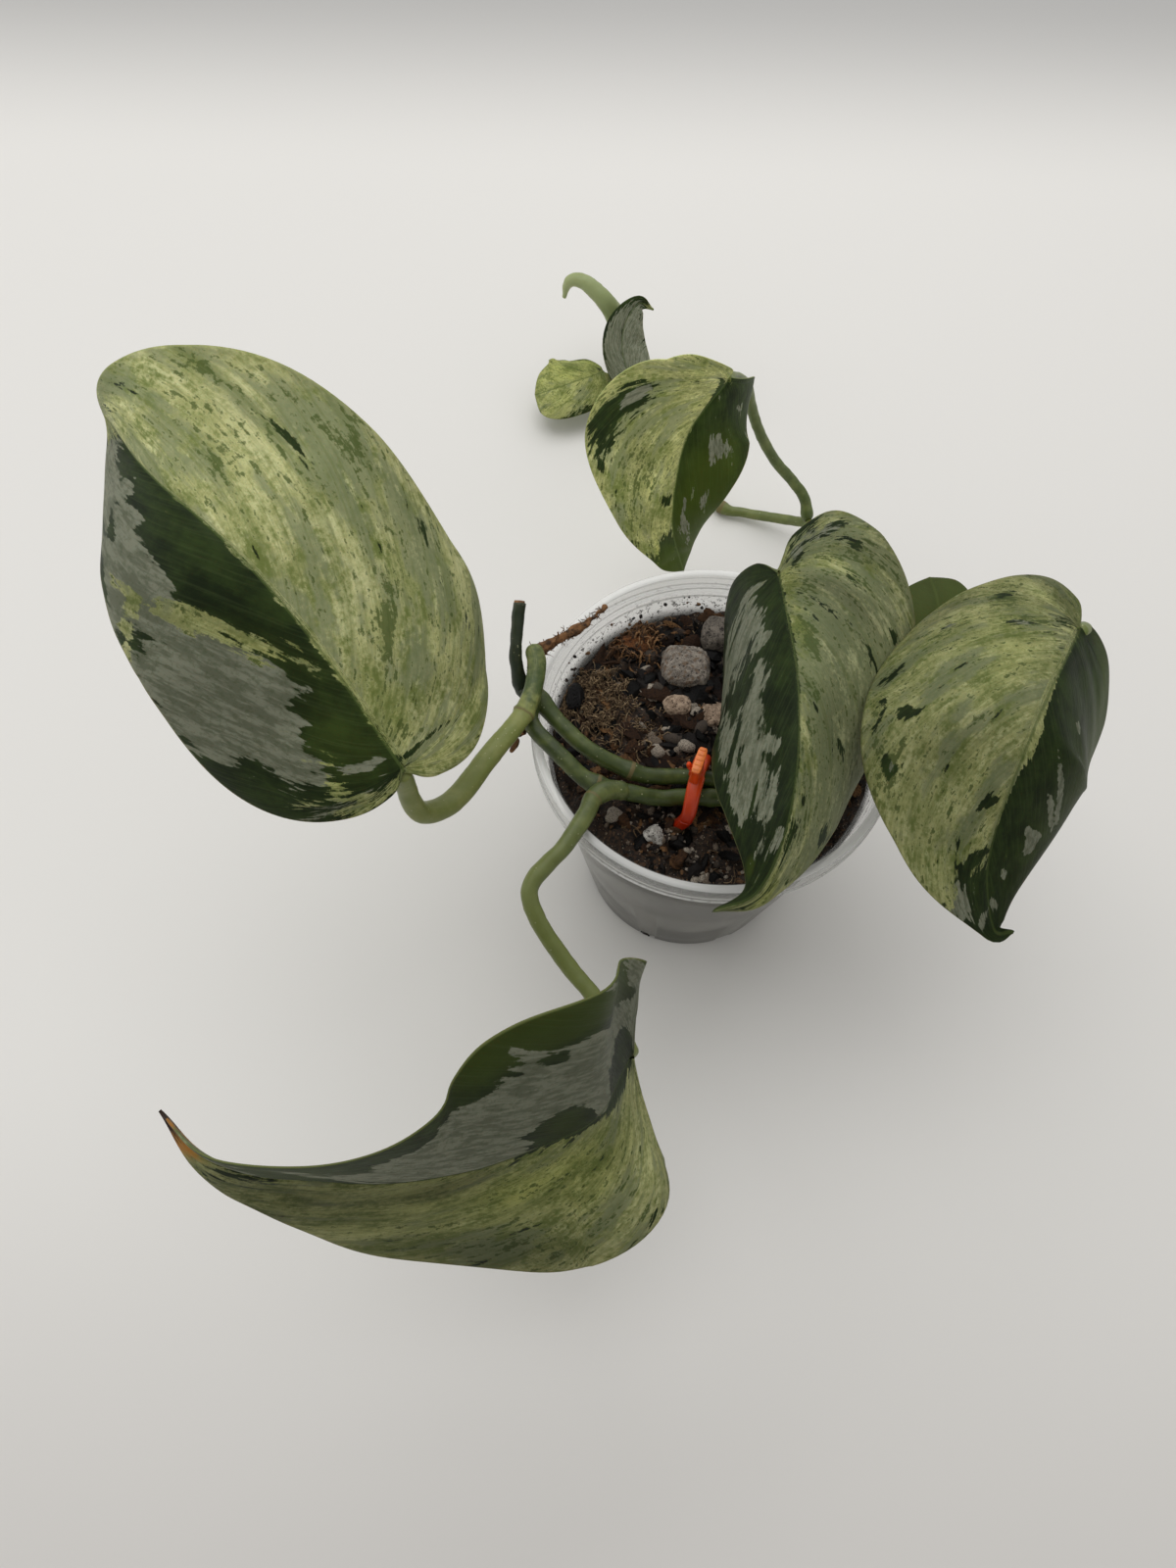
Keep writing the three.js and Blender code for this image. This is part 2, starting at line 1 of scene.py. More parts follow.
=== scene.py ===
"""Looks for a young scindapsus in a clear nursery pot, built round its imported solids.

Shapes are worked out in millimetres and written to meshes in metres, in the frame of the solids:
+Z up, origin at the centre of the pot's flat underside.
"""
import math

import bmesh
import bpy
import numpy as np
from mathutils import Matrix, Vector


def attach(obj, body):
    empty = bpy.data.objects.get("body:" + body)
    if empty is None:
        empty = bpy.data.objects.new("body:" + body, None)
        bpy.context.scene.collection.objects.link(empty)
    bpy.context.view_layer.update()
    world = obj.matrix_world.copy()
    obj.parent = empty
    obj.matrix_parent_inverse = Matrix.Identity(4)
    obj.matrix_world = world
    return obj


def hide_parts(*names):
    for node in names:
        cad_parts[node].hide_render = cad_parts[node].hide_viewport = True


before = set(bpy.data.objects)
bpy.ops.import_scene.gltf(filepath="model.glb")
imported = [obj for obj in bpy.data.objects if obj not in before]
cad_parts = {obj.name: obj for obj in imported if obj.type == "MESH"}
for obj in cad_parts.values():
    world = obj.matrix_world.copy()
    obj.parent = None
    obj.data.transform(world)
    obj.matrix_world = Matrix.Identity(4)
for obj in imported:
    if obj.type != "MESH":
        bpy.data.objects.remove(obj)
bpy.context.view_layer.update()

MM = 0.001
TURN = 2 * np.pi
SHARP_ANGLE = 50

# The photograph's viewpoint, fitted to the pot: place in mm, degrees down and rolled, focal length
# and height of the picture in its pixels
EYE, PITCH, ROLL = (-30.4, -133.7, 324), 64.23, 1.99
FOCAL, PICTURE_HEIGHT, SENSOR = 1150, 1600, 36
# Soft lamps: place and size in m, power in W; the floor's half side in m
LAMPS = {"key": ((-0.3, 0.45, 1.5), 1.4, 10.0), "back": ((0.4, 1.2, 0.9), 1.0, 3.4),
         "side": ((-1.3, 0.25, 0.6), 0.7, 2.2)}
LAMP_AIM, ROOM_LIGHT, FLOOR = (0, 0.02, 0.05), 0.5, 1.6

# ---- Sizes shared with the solids

POT = dict(height=85.5, rim=45, base=29.5, wall=1, floor=1.4, lip=7, flare=3.2)
SLOTS, SLOT_WIDTH, SLOT_HEIGHT = 8, 5, 4
SOIL = dict(level=75.5, dip=5, dip_angle=135, lump=1.1)
# Height of the mix that sticks to the wall (upper fade, lower fade), and the bearing of the drain
# slot in front
DIRT_TOP, DIRT_FOOT, FRONT_SLOT = (81.5, 75), (66, 72), 247.5
BLADE = 0.6
VEIN_START, VEIN_BEND = 1.8, 1.35

OUTLINES = {
    "heart": [(0, 0), (-0.1, 0.18), (-0.12, 0.55), (0.08, 0.9), (0.32, 1), (0.6, 0.78), (0.82, 0.38),
              (0.93, 0.12), (1, 0)],
    "ovate": [(0, 0), (-0.1, 0.13), (-0.12, 0.48), (0.08, 1.04), (0.32, 0.96), (0.6, 0.79), (0.82, 0.38),
              (0.93, 0.09), (1, 0)],
    "wedge": [(0, 0), (-0.1, 0.06), (-0.12, 0.59), (0.08, 0.88), (0.32, 1), (0.6, 0.63), (0.82, 0.33),
              (0.93, 0.21), (1, 0)],
    "drip": [(0, 0), (-0.1, 0.18), (-0.12, 0.55), (0.08, 0.9), (0.3, 1), (0.55, 0.8), (0.75, 0.44),
             (0.88, 0.13), (1, 0)],
    "broad": [(0, 0), (-0.1, 0.09), (-0.12, 0.42), (0.08, 0.92), (0.3, 1.06), (0.55, 0.91), (0.75, 0.46),
              (0.88, 0.18), (1, 0)],
    "long": [(0, 0), (-0.1, 0.21), (-0.12, 0.39), (0.08, 0.86), (0.28, 1.03), (0.48, 0.79), (0.66, 0.43),
             (0.82, 0.23), (0.94, 0.09), (1, 0)],
    "blunt": [(0, 0), (-0.05, 0.2), (0, 0.6), (0.2, 0.92), (0.5, 1), (0.78, 0.92), (0.95, 0.6), (1, 0)],
}

# Leaves: outline, midrib points, facing direction, roll at base, middle and tip, then for the right
# and left halves the width, basal lobe, upward fold and downward curl. pale is the half that is
# pale (1 right, -1 left, 0 none, 2 both) and tone its yellowness and lightness, the lightness being
# painted light and shade for how brightly the whole leaf is lit. relax gives the half that is evened
# out and the two places on its margin between which that is done. Small leaves get a coarser grid.
LEAVES = {
    "a": dict(outline="ovate", pale=1, relax=(-1, 0.1, 0.6), tone=(0, 0.02),
              face=(-0.3, 0, 1), roll=(9, -16, -40),
              rib=[(-67, -36, 126), (-81, -22, 146), (-96, -9, 158), (-115, 8, 159), (-132, 32, 148)],
              right=(40, 0.55, (-15, 7, 52), (-56, -55, -28)),
              left=(38.7, 0.37, (-10, 7, 1), (-36, -45, -23))),
    "b": dict(outline="long", pale=-1, tone=(0.15, -0.2), face=(0.1, 0, 1), roll=(-59, -69, -71),
              rib=[(-19, -80, 77), (-29, -97, 87), (-61, -109, 93), (-92, -110, 111), (-107, -100, 110)],
              right=(41.4, 0.17, (2, 9, 19), (37, -24, 14)), left=(43.2, 0.08, (-4, -5, 8), (33, 15, -11))),
    "c": dict(outline="drip", pale=-1, tone=(0, -0.25), face=(0, 0, 1), roll=(35, 5, -14),
              rib=[(12, 24, 112), (13, -11, 121), (11, -37, 118), (5, -53, 111), (-4, -56, 105)],
              right=(30, 0.8, (-5, -16, -16), (-60, -68, -65)),
              left=(31, 1, (15, -23, -32), (-54, -63, -58))),
    "d": dict(outline="broad", pale=1, relax=(-1, 0.3, 0.95), tone=(0.2, -0.25),
              face=(0, 0, 1), roll=(-14, -7, 4),
              rib=[(72, 2, 126), (56, -26, 132.5), (52, -44, 112), (56, -55, 98), (60, -56, 99)],
              right=(36, 1, (-5, -7, 15), (-62, -54, -48)),
              left=(33.4, 0.55, (-23, -8, 10), (-38, -71, -67))),
    "e": dict(outline="blunt", pale=0, tone=(0.3, -0.3), face=(0, 0.2, -1), roll=(0, 0, 0), small=True,
              rib=[(53, 8, 87), (54, 18, 92), (53.5, 28, 96), (52, 35.5, 97)],
              right=(11.5, 0.6, (0, 0, 0), (30, 30, 30)), left=(11.5, 0.6, (0, 0, 0), (30, 30, 30))),
    "f": dict(outline="wedge", pale=1, tone=(0.3, 0.62), face=(0, -1, 0.3), roll=(-33, -6, -28),
              rib=[(5, 108, 88), (-5, 102, 71), (-7, 93, 45), (-1, 95, 16)],
              right=(29.6, 0.48, (10, 1, -5), (-43, -26, -53)),
              left=(22.4, 0.15, (5, 14, -28), (-59, -45, -48))),
    "g": dict(outline="heart", pale=0, tone=(0.1, 0.15), face=(0, -1, 0.6), roll=(-30, -10, 0), small=True,
              rib=[(-17, 175, 11), (-21, 183, 17), (-23.5, 189, 23), (-22.5, 194, 30), (-18, 199, 34),
                   (-12.6, 199.6, 31)],
              right=(10, 0.6, (25, 15, 0), (-30, -30, -20)), left=(9, 0.6, (10, 5, 0), (-45, -45, -30))),
    "h": dict(outline="blunt", pale=2, tone=(0.45, 0.15), face=(0, -0.3, 1), roll=(0, 0, 0), small=True,
              rib=[(-29.9, 191.2, 9), (-34.6, 185, 12.5), (-40.9, 179.7, 14.5), (-48.1, 177, 13.5),
                   (-55, 177.3, 10)],
              right=(15, 0.6, (0, -5, 0), (-30, -30, -20)), left=(12, 0.6, (0, -5, 0), (-30, -30, -20))),
}

# Markings laid on each leaf, by half (1 right, -1 left) and channel: pale tissue (P), silver
# (S), flecks (F), yellow (Y), lightness (L) or scorch (B). Each has its place v along the margin and
# u out from the rib, half sizes in v and u, the amount it adds, and a slope of v over u if it slants.
# The lightness channel (L) is mostly painted light and shade: patches brighter where a leaf is lit and darker
# where it lies in shade, with some lighter and darker tissue.
MARKS = {
    "a": {
        (-1, "S"): [(0.52, 0.68, 0.09, 0.36, 2.1), (0.545, 0.3, 0.03, 0.22, 1.3, 0.1),
            (0.42, 0.42, 0.04, 0.14, 1.3), (0.41, 0.13, 0.018, 0.12, 1.4), (0.5, 0.3, 0.012, 0.08, 1),
            (0.67, 0.72, 0.045, 0.33, 2), (0.72, 0.52, 0.012, 0.2, 1.5), (0.75, 0.38, 0.012, 0.2, 1.2),
            (0.78, 0.72, 0.05, 0.3, 1.8), (0.85, 0.5, 0.04, 0.6, 1), (0.28, 0.6, 0.08, 0.5, 0.75),
            (0.34, 0.92, 0.04, 0.2, -1), (0.48, 0.12, 0.06, 0.2, -1.2), (0.66, 0.2, 0.05, 0.2, -1.5),
            (0.675, 0.97, 0.02, 0.06, -1), (0.715, 0.72, 0.012, 0.1, -1.3)],
        (-1, "P"): [(0.42, 0.4, 0.03, 0.1, 0.9), (0.93, 0.5, 0.07, 1.2, 1.9),
            (0.605, 0.4, 0.021, 0.45, 1.45, 0.14), (0.63, 0.85, 0.018, 0.15, 1.5, -0.15),
            (0.225, 0.75, 0.05, 0.35, 0.95, -0.08), (0.33, 0.37, 0.06, 0.14, 1, -0.6),
            (0.34, 0.6, 0.02, 0.25, 0.9, -0.1), (0.15, 0.7, 0.1, 0.5, 0.8), (0.08, 0.45, 0.08, 0.5, 0.8),
            (0.1, 0.08, 0.3, 0.1, -0.8)],
        (-1, "Y"): [(0.61, 0.4, 0.03, 0.5, 0.35, 0.14), (0.44, 0.18, 0.14, 0.3, 0.6),
            (0.15, 0.7, 0.14, 0.6, 0.3)],
        (1, "L"): [(0.55, 0.5, 0.6, 1, 0.24), (0.75, 0.5, 0.2, 0.8, 0.24), (0.15, 0.6, 0.22, 0.8, -0.22),
            (0.78, 0.45, 0.14, 0.8, 0.14)],
        (-1, "L"): [(0.2, 0.6, 0.2, 0.7, -0.12), (0.7, 0.6, 0.1, 0.6, -0.1), (0.44, 0.18, 0.14, 0.3, 0.25),
            (0.61, 0.4, 0.04, 0.6, -0.18, 0.14)],
        (1, "P"): [(0.14, 0.05, 0.22, 0.07, -1.1), (0.375, 0.12, 0.012, 0.14, -0.88, -0.12),
            (0.345, 0.34, 0.012, 0.12, -0.78, -0.15), (0.32, 0.5, 0.01, 0.08, -0.82),
            (0.63, 0.69, 0.012, 0.1, -0.85, 0.3), (0.51, 0.86, 0.009, 0.06, -0.88),
            (0.42, 0.74, 0.02, 0.08, -0.78, 0.15), (0.815, 0.72, 0.013, 0.18, -0.92, 0.12)],
        (1, "F"): [(0.45, 0.1, 0.09, 0.12, 0.25), (0.535, 0.38, 0.016, 0.16, 0.4, 0.12),
            (0.585, 0.9, 0.012, 0.12, 0.35), (0.68, 0.92, 0.014, 0.1, 0.35),
            (0.68, 0.44, 0.012, 0.09, 0.4), (0.58, 0.62, 0.18, 0.4, 0.16), (0.77, 0.9, 0.06, 0.12, 0.2),
            (0.18, 0.6, 0.14, 0.6, -0.5)],
        (1, "S"): [(0.42, 0.74, 0.02, 0.08, 0.9, 0.15)],
        (1, "Y"): [(0.77, 0.9, 0.06, 0.12, 0.4), (0.2, 0.55, 0.16, 0.6, 0.45), (0.5, 0.1, 0.1, 0.1, 0.4)],
    },
    "b": {
        (-1, "P"): [(0.35, 0.97, 0.04, 0.1, -0.6), (0.84, 0.25, 0.04, 0.5, -1),
            (0.42, 0.02, 0.1, 0.08, -1.3, -0.5), (0.92, 0.5, 0.035, 1.2, 0.9)],
        (-1, "F"): [(0.5, 0.85, 0.1, 0.16, 0.4), (0.5, 0.35, 0.1, 0.3, 0.2), (0.76, 0.5, 0.12, 0.9, -0.2),
            (0.15, 0.7, 0.14, 0.5, -0.4)],
        (-1, "L"): [(0.2, 0.6, 0.14, 0.6, 0.16), (0.8, 0.5, 0.1, 0.9, 0.12), (0.5, 0.9, 0.1, 0.16, -0.28),
            (0.35, 0.62, 0.05, 0.2, 0.25), (0.64, 0.2, 0.04, 0.25, -0.25, 0.05),
            (0.76, 0.5, 0.12, 0.9, -0.4), (0.7, 0.5, 0.2, 0.8, -0.12)],
        (1, "S"): [(0.5, 0.3, 0.13, 0.3, 0.5), (0.72, 0.3, 0.06, 0.35, 0.9),
            (0.475, 0.12, 0.022, 0.2, 1.5), (0.6, 0.08, 0.03, 0.2, 1.2), (0.3, 0.8, 0.03, 0.1, 1.3),
            (0.245, 0.9, 0.015, 0.09, 1.3), (0.48, 0.88, 0.01, 0.06, 1.4), (0.2, 0.85, 0.1, 0.2, 0.6),
            (0.16, 0.5, 0.15, 0.8, 1.61), (0.36, 0.22, 0.06, 0.14, -1.2), (0.36, 0.46, 0.09, 0.2, 1.61),
            (0.345, 0.7, 0.045, 0.17, -1.7), (0.4, 0.93, 0.05, 0.06, 1.2),
            (0.435, 0.5, 0.02, 0.35, 1.27, 0.12), (0.53, 0.15, 0.035, 0.2, -1.7),
            (0.55, 0.55, 0.1, 0.34, 1.78), (0.465, 0.7, 0.015, 0.06, -1.3), (0.45, 0.9, 0.05, 0.12, -1.6),
            (0.54, 0.87, 0.035, 0.14, -1.2), (0.63, 0.12, 0.035, 0.15, 1.36),
            (0.65, 0.45, 0.05, 0.34, 1.36), (0.645, 0.88, 0.03, 0.14, -1), (0.765, 0.6, 0.01, 0.3, 0.9),
            (0.86, 0.4, 0.045, 0.8, 1.3)],
        (1, "Y"): [(0.78, 0.6, 0.1, 0.6, 0.5), (0.4, 0.95, 0.2, 0.2, 1), (0.53, 0.15, 0.03, 0.2, 0.6),
            (0.345, 0.66, 0.06, 0.2, 0.7), (0.45, 0.92, 0.05, 0.12, 0.7)],
        (1, "L"): [(0.4, 0.95, 0.2, 0.2, 0.2), (0.8, 0.5, 0.12, 0.9, 0.25), (0.4, 0.5, 0.4, 0.8, -0.24)],
        (-1, "Y"): [(0.68, 0.5, 0.15, 0.8, 0.35), (0.5, 0.35, 0.12, 0.3, 0.5), (0.92, 0.5, 0.04, 1.2, 1)],
        (1, "B"): [(1, 0.4, 0.1, 2, 1.2)],
        (-1, "B"): [(1, 0.4, 0.1, 2, 1.2)],
    },
    "c": {
        # Towards the tip of leaf C's right half (v from about 0.77) these marks are partly silver and partly
        # painted reflection, grey where the blade catches the light.
        (1, "S"): [(0.32, 0.36, 0.06, 0.2, 1.2), (0.365, 0.26, 0.008, 0.08, -1.6),
            (0.2, 0.4, 0.09, 0.5, -0.8), (0.5, 1, 0.3, 0.09, -0.9), (0.42, 0.78, 0.12, 0.12, 0.7),
            (0.62, 0.82, 0.12, 0.12, 0.75), (0.465, 0.48, 0.075, 0.3, 1.33),
            (0.54, 0.19, 0.01, 0.08, 1.26), (0.61, 0.5, 0.045, 0.28, 1.26, 0.15),
            (0.585, 0.5, 0.006, 0.14, -1.2, 0.1), (0.71, 0.6, 0.05, 0.28, 1.19, 0.22),
            (0.7, 0.3, 0.015, 0.09, 1.12), (0.77, 0.45, 0.045, 0.22, 1.19), (0.845, 0.18, 0.03, 0.2, 1.26),
            (0.81, 0.24, 0.01, 0.12, -1.8), (0.84, 0.58, 0.03, 0.16, 1.05),
            (0.555, 0.35, 0.007, 0.2, -1.3), (0.5, 0.02, 0.3, 0.09, -1.4),
            (0.655, 0.72, 0.006, 0.12, -1.3, 0.2), (0.75, 0.62, 0.008, 0.12, -1.4, 0.2),
            (0.42, 0.62, 0.008, 0.14, -1.2, 0.1)],
        (-1, "F"): [(0.47, 0.18, 0.05, 0.1, 0.28), (0.5, 0.5, 0.4, 0.8, 0.16),
            (0.57, 0.12, 0.04, 0.07, 0.3), (0.72, 0.14, 0.05, 0.1, 0.3), (0.36, 0.6, 0.05, 0.3, 0.3),
            (0.585, 0.14, 0.02, 0.08, 0.45), (0.65, 0.12, 0.014, 0.1, 0.5), (0.5, 0.1, 0.1, 0.1, 0.15)],
        (-1, "Y"): [(0.55, 0.55, 0.3, 0.4, -0.4), (0.5, 0.06, 0.25, 0.1, 0.6),
            (0.39, 0.4, 0.04, 0.25, 0.35), (0.9, 0.7, 0.04, 0.6, 0.7), (0.62, 0.5, 0.2, 0.4, -0.5)],
        (-1, "L"): [(0.4, 0.45, 0.04, 0.25, 0.16, 0.1), (0.47, 0.42, 0.03, 0.25, -0.18, 0.1),
            (0.55, 0.8, 0.06, 0.15, 0.2), (0.66, 0.4, 0.05, 0.25, -0.12), (0.58, 0.12, 0.1, 0.12, 0.18),
            (0.39, 0.4, 0.04, 0.25, 0.2)],
        (1, "Y"): [(0.86, 0.85, 0.03, 0.15, 0.9)],
        (-1, "P"): [(0.43, 0.53, 0.022, 0.11, -1.27), (0.475, 0.77, 0.012, 0.06, -1.15),
            (0.53, 0.5, 0.006, 0.24, -1.15, 0.09), (0.67, 0.55, 0.008, 0.12, -1.23, 0.03),
            (0.745, 0.85, 0.02, 0.09, -1.23), (0.772, 0.24, 0.008, 0.08, -1.07),
            (0.845, 0.9, 0.014, 0.07, -1.07), (0.84, 0.2, 0.035, 0.2, -1.39),
            (0.28, 0.73, 0.018, 0.16, -1.23), (0.345, 0.72, 0.014, 0.08, -1.07),
            (0.29, 0.26, 0.035, 0.2, -1.23, -0.55), (0.15, 0.95, 0.05, 0.1, -1.07),
            (0.2, 0.5, 0.09, 0.5, -0.8), (0.93, 0.4, 0.05, 0.9, -0.8)],
        (-1, "S"): [(0.24, 0.5, 0.1, 0.6, 1.1)],
    },
    "d": {
        (-1, "S"): [(0.69, 0.55, 0.007, 0.32, 2.2, 0.13), (0.715, 0.58, 0.006, 0.26, 2, 0.09),
            (0.77, 0.62, 0.022, 0.1, 1.7), (0.755, 0.5, 0.008, 0.14, 1.4), (0.565, 0.31, 0.008, 0.035, 2),
            (0.6, 0.42, 0.006, 0.07, 1.2, 0.25), (0.845, 0.46, 0.012, 0.08, 1.4),
            (0.91, 0.3, 0.012, 0.3, 1.2), (0.5, 0.3, 0.4, 0.6, -0.3)],
        (-1, "P"): [(0.66, 0, 0.07, 0.06, 1.6)],
        (-1, "Y"): [(0.4, 0.8, 0.3, 0.4, 0.4), (0.5, 0.75, 0.5, 0.4, 0.4)],
        (-1, "L"): [(0.3, 0.6, 0.2, 0.5, 0.3)],
        (1, "P"): [(0.32, 0.1, 0.1, 0.12, -0.98), (0.435, 0.31, 0.02, 0.12, -0.94),
            (0.435, 0.66, 0.025, 0.08, -1.02), (0.32, 0.68, 0.025, 0.1, -1.1, -0.2),
            (0.51, 0.58, 0.006, 0.05, -1.19), (0.612, 0.73, 0.01, 0.08, -1.6),
            (0.665, 0.83, 0.014, 0.06, -1.6), (0.735, 0.16, 0.008, 0.1, -1.9),
            (0.92, 0.5, 0.085, 1.4, -2.5), (0.82, 0.33, 0.012, 0.24, -1.9, 0.02),
            (0.6, 0.89, 0.03, 0.06, -0.8), (0.68, 0.88, 0.03, 0.06, -0.8), (0.53, 0.86, 0.02, 0.07, -0.75),
            (0.76, 0, 0.02, 0.05, 0.6)],
        (1, "S"): [(0.435, 0.31, 0.03, 0.14, 0.9), (0.435, 0.66, 0.03, 0.1, 0.8),
            (0.85, 0.8, 0.035, 0.25, 1.7), (0.92, 0.5, 0.01, 0.5, 1.3)],
        (1, "L"): [(0.38, 0.88, 0.06, 0.12, -0.25), (0.66, 0.5, 0.03, 0.4, -0.12),
            (0.2, 0.5, 0.09, 0.6, -0.25), (0.26, 0.6, 0.02, 0.24, 0.35), (0.5, 0.35, 0.12, 0.25, 0.12)],
        (1, "F"): [(0.58, 0.9, 0.09, 0.1, 0.25), (0.5, 0.75, 0.04, 0.12, 0.3),
            (0.33, 0.6, 0.03, 0.22, 0.5, -0.15), (0.41, 0.27, 0.03, 0.14, 0.5),
            (0.66, 0.88, 0.04, 0.1, 0.2), (0.45, 0.68, 0.04, 0.12, 0.3), (0.56, 0.5, 0.5, 0.7, 0.1),
            (0.12, 0.6, 0.1, 0.7, 0.35)],
        (1, "Y"): [(0.5, 0.3, 0.12, 0.25, 0.25)],
    },
    "f": {
        (-1, "S"): [(0.54, 0.5, 0.035, 0.2, 1.15, -0.03), (0.63, 0.65, 0.03, 0.08, 1.04),
            (0.665, 0.3, 0.018, 0.07, 1.14), (0.715, 0.35, 0.03, 0.2, 1.15),
            (0.41, 0.57, 0.015, 0.08, 0.95), (0.77, 0.57, 0.04, 0.1, 0.76)],
        (-1, "Y"): [(0.8, 0.5, 0.2, 0.9, 0.9), (0.6, 0.65, 0.12, 0.35, 0.8)],
        (-1, "L"): [(0.9, 0.5, 0.1, 0.9, 0.2)],
        (1, "P"): [(0.42, 0.03, 0.06, 0.25, -1.8, -0.9), (0.39, 0.4, 0.02, 0.07, -1.15),
            (0.46, 0.71, 0.03, 0.1, -1.15), (0.49, 0.84, 0.045, 0.18, -1.35),
            (0.555, 0.9, 0.01, 0.03, -1.3), (0.67, 0.14, 0.014, 0.12, -1.4),
            (0.77, 0.25, 0.035, 0.3, -1.15), (0.9, 0.45, 0.12, 1.2, -2.3)],
        (1, "S"): [(0.46, 0.7, 0.03, 0.09, 1.5)],
        (1, "F"): [(0.25, 0.84, 0.05, 0.16, 0.5), (0.66, 0.8, 0.06, 0.25, 0.35),
            (0.5, 0.75, 0.12, 0.3, 0.25), (0.6, 0.4, 0.05, 0.3, 0.3, -0.1)],
        (1, "Y"): [(0.88, 0.6, 0.12, 0.9, 0.9)],
        (1, "L"): [(0.5, 0.5, 0.6, 1, 0.42), (0.5, 0.22, 0.1, 0.2, 0.3), (0.18, 0.55, 0.12, 0.5, 0.3),
            (0.22, 0.5, 0.03, 0.6, -0.35, -0.1), (0.33, 0.45, 0.02, 0.4, 0.3, -0.1),
            (0.42, 0.25, 0.025, 0.15, -0.35), (0.58, 0.55, 0.035, 0.18, -0.35),
            (0.56, 0.78, 0.03, 0.12, 0.35), (0.64, 0.35, 0.03, 0.15, 0.3), (0.7, 0.55, 0.035, 0.2, -0.3),
            (0.72, 0.8, 0.03, 0.12, 0.3), (0.45, 0.52, 0.025, 0.12, 0.3), (0.38, 0.62, 0.03, 0.12, -0.3)],
    },
    "g": {
        (1, "S"): [(0.45, 0.45, 0.4, 0.7, 2.1)],
        (-1, "S"): [(0.45, 0.4, 0.4, 0.5, 2)],
        (1, "P"): [(0.95, 0.5, 0.07, 1.5, 1.6)],
        (-1, "P"): [(0.95, 0.5, 0.07, 1.5, 1.6)],
    },
    "h": {
        (1, "P"): [(0.45, 0.9, 0.3, 0.14, -0.9), (0.4, 0.1, 0.1, 0.14, -0.8)],
        (-1, "P"): [(0.5, 0.92, 0.3, 0.18, -0.95)],
        (1, "F"): [(0.6, 0.45, 0.08, 0.25, 0.5)],
        (-1, "F"): [(0.4, 0.45, 0.1, 0.25, 0.5)],
        (1, "L"): [(0.35, 0.55, 0.08, 0.25, 0.2)],
        (-1, "L"): [(0.7, 0.4, 0.1, 0.3, 0.2)],
        (1, "Y"): [(0.5, 0.5, 0.4, 0.6, 0.3)],
    },
    "e": {
        (1, "L"): [(0.5, 0.5, 0.4, 0.7, 0.2)],
        (-1, "L"): [(0.5, 0.5, 0.4, 0.7, 0.2)],
        (1, "Y"): [(0.5, 0.5, 0.4, 0.9, 0.7)],
        (-1, "Y"): [(0.5, 0.5, 0.4, 0.9, 0.7)],
    },
}

# Rows and columns of half a leaf, how sharply a mark fades, and what pale tissue and the other
# channels start from
GRID, SMALL_GRID, FADE = (150, 54), (60, 22), 1.2
PALE_HALF, DARK_HALF, PALE_RIB, SILVER, FLECKS = 0.8, -0.95, -0.1, -0.2, -0.12

# Routes of the vines and stalks, in mm, each with radii spread evenly along it
STEM = 2
FRONT_UPPER = [(24, -11, 66), (15, -13, 76), (4, -13.5, 79), (-6.3, -13, 80), (-16.6, -14, 82),
               (-24.3, -12.1, 84), (-30.5, -9.7, 86), (-36.7, -4.7, 87.5), (-41.6, 0.4, 89), (-44.5, 3, 90)]
FRONT_LOWER = [(-44.5, 3, 90), (-44.5, -5, 90), (-37.1, -12.8, 88.5), (-29.7, -18.3, 86),
               (-20.1, -19.5, 83.5), (-13.3, -19.4, 81), (-7, -18.4, 80), (4, -18, 79), (15, -17, 76),
               (24, -17, 66)]
BACK_VINE = [(15, 12, 66), (20, 18, 78), (27, 27, 88), (34, 40, 90), (41, 62, 78), (44, 88, 42),
             (44, 107, 20), (43, 119, 13), (38.9, 124, 8.5), (33.3, 127, 6), (27.4, 129.6, 4),
             (21.5, 131.6, 3), (14, 134, 2.8), (1, 148, 2.6), (-9, 164, 2.8), (-15, 172, 4)]
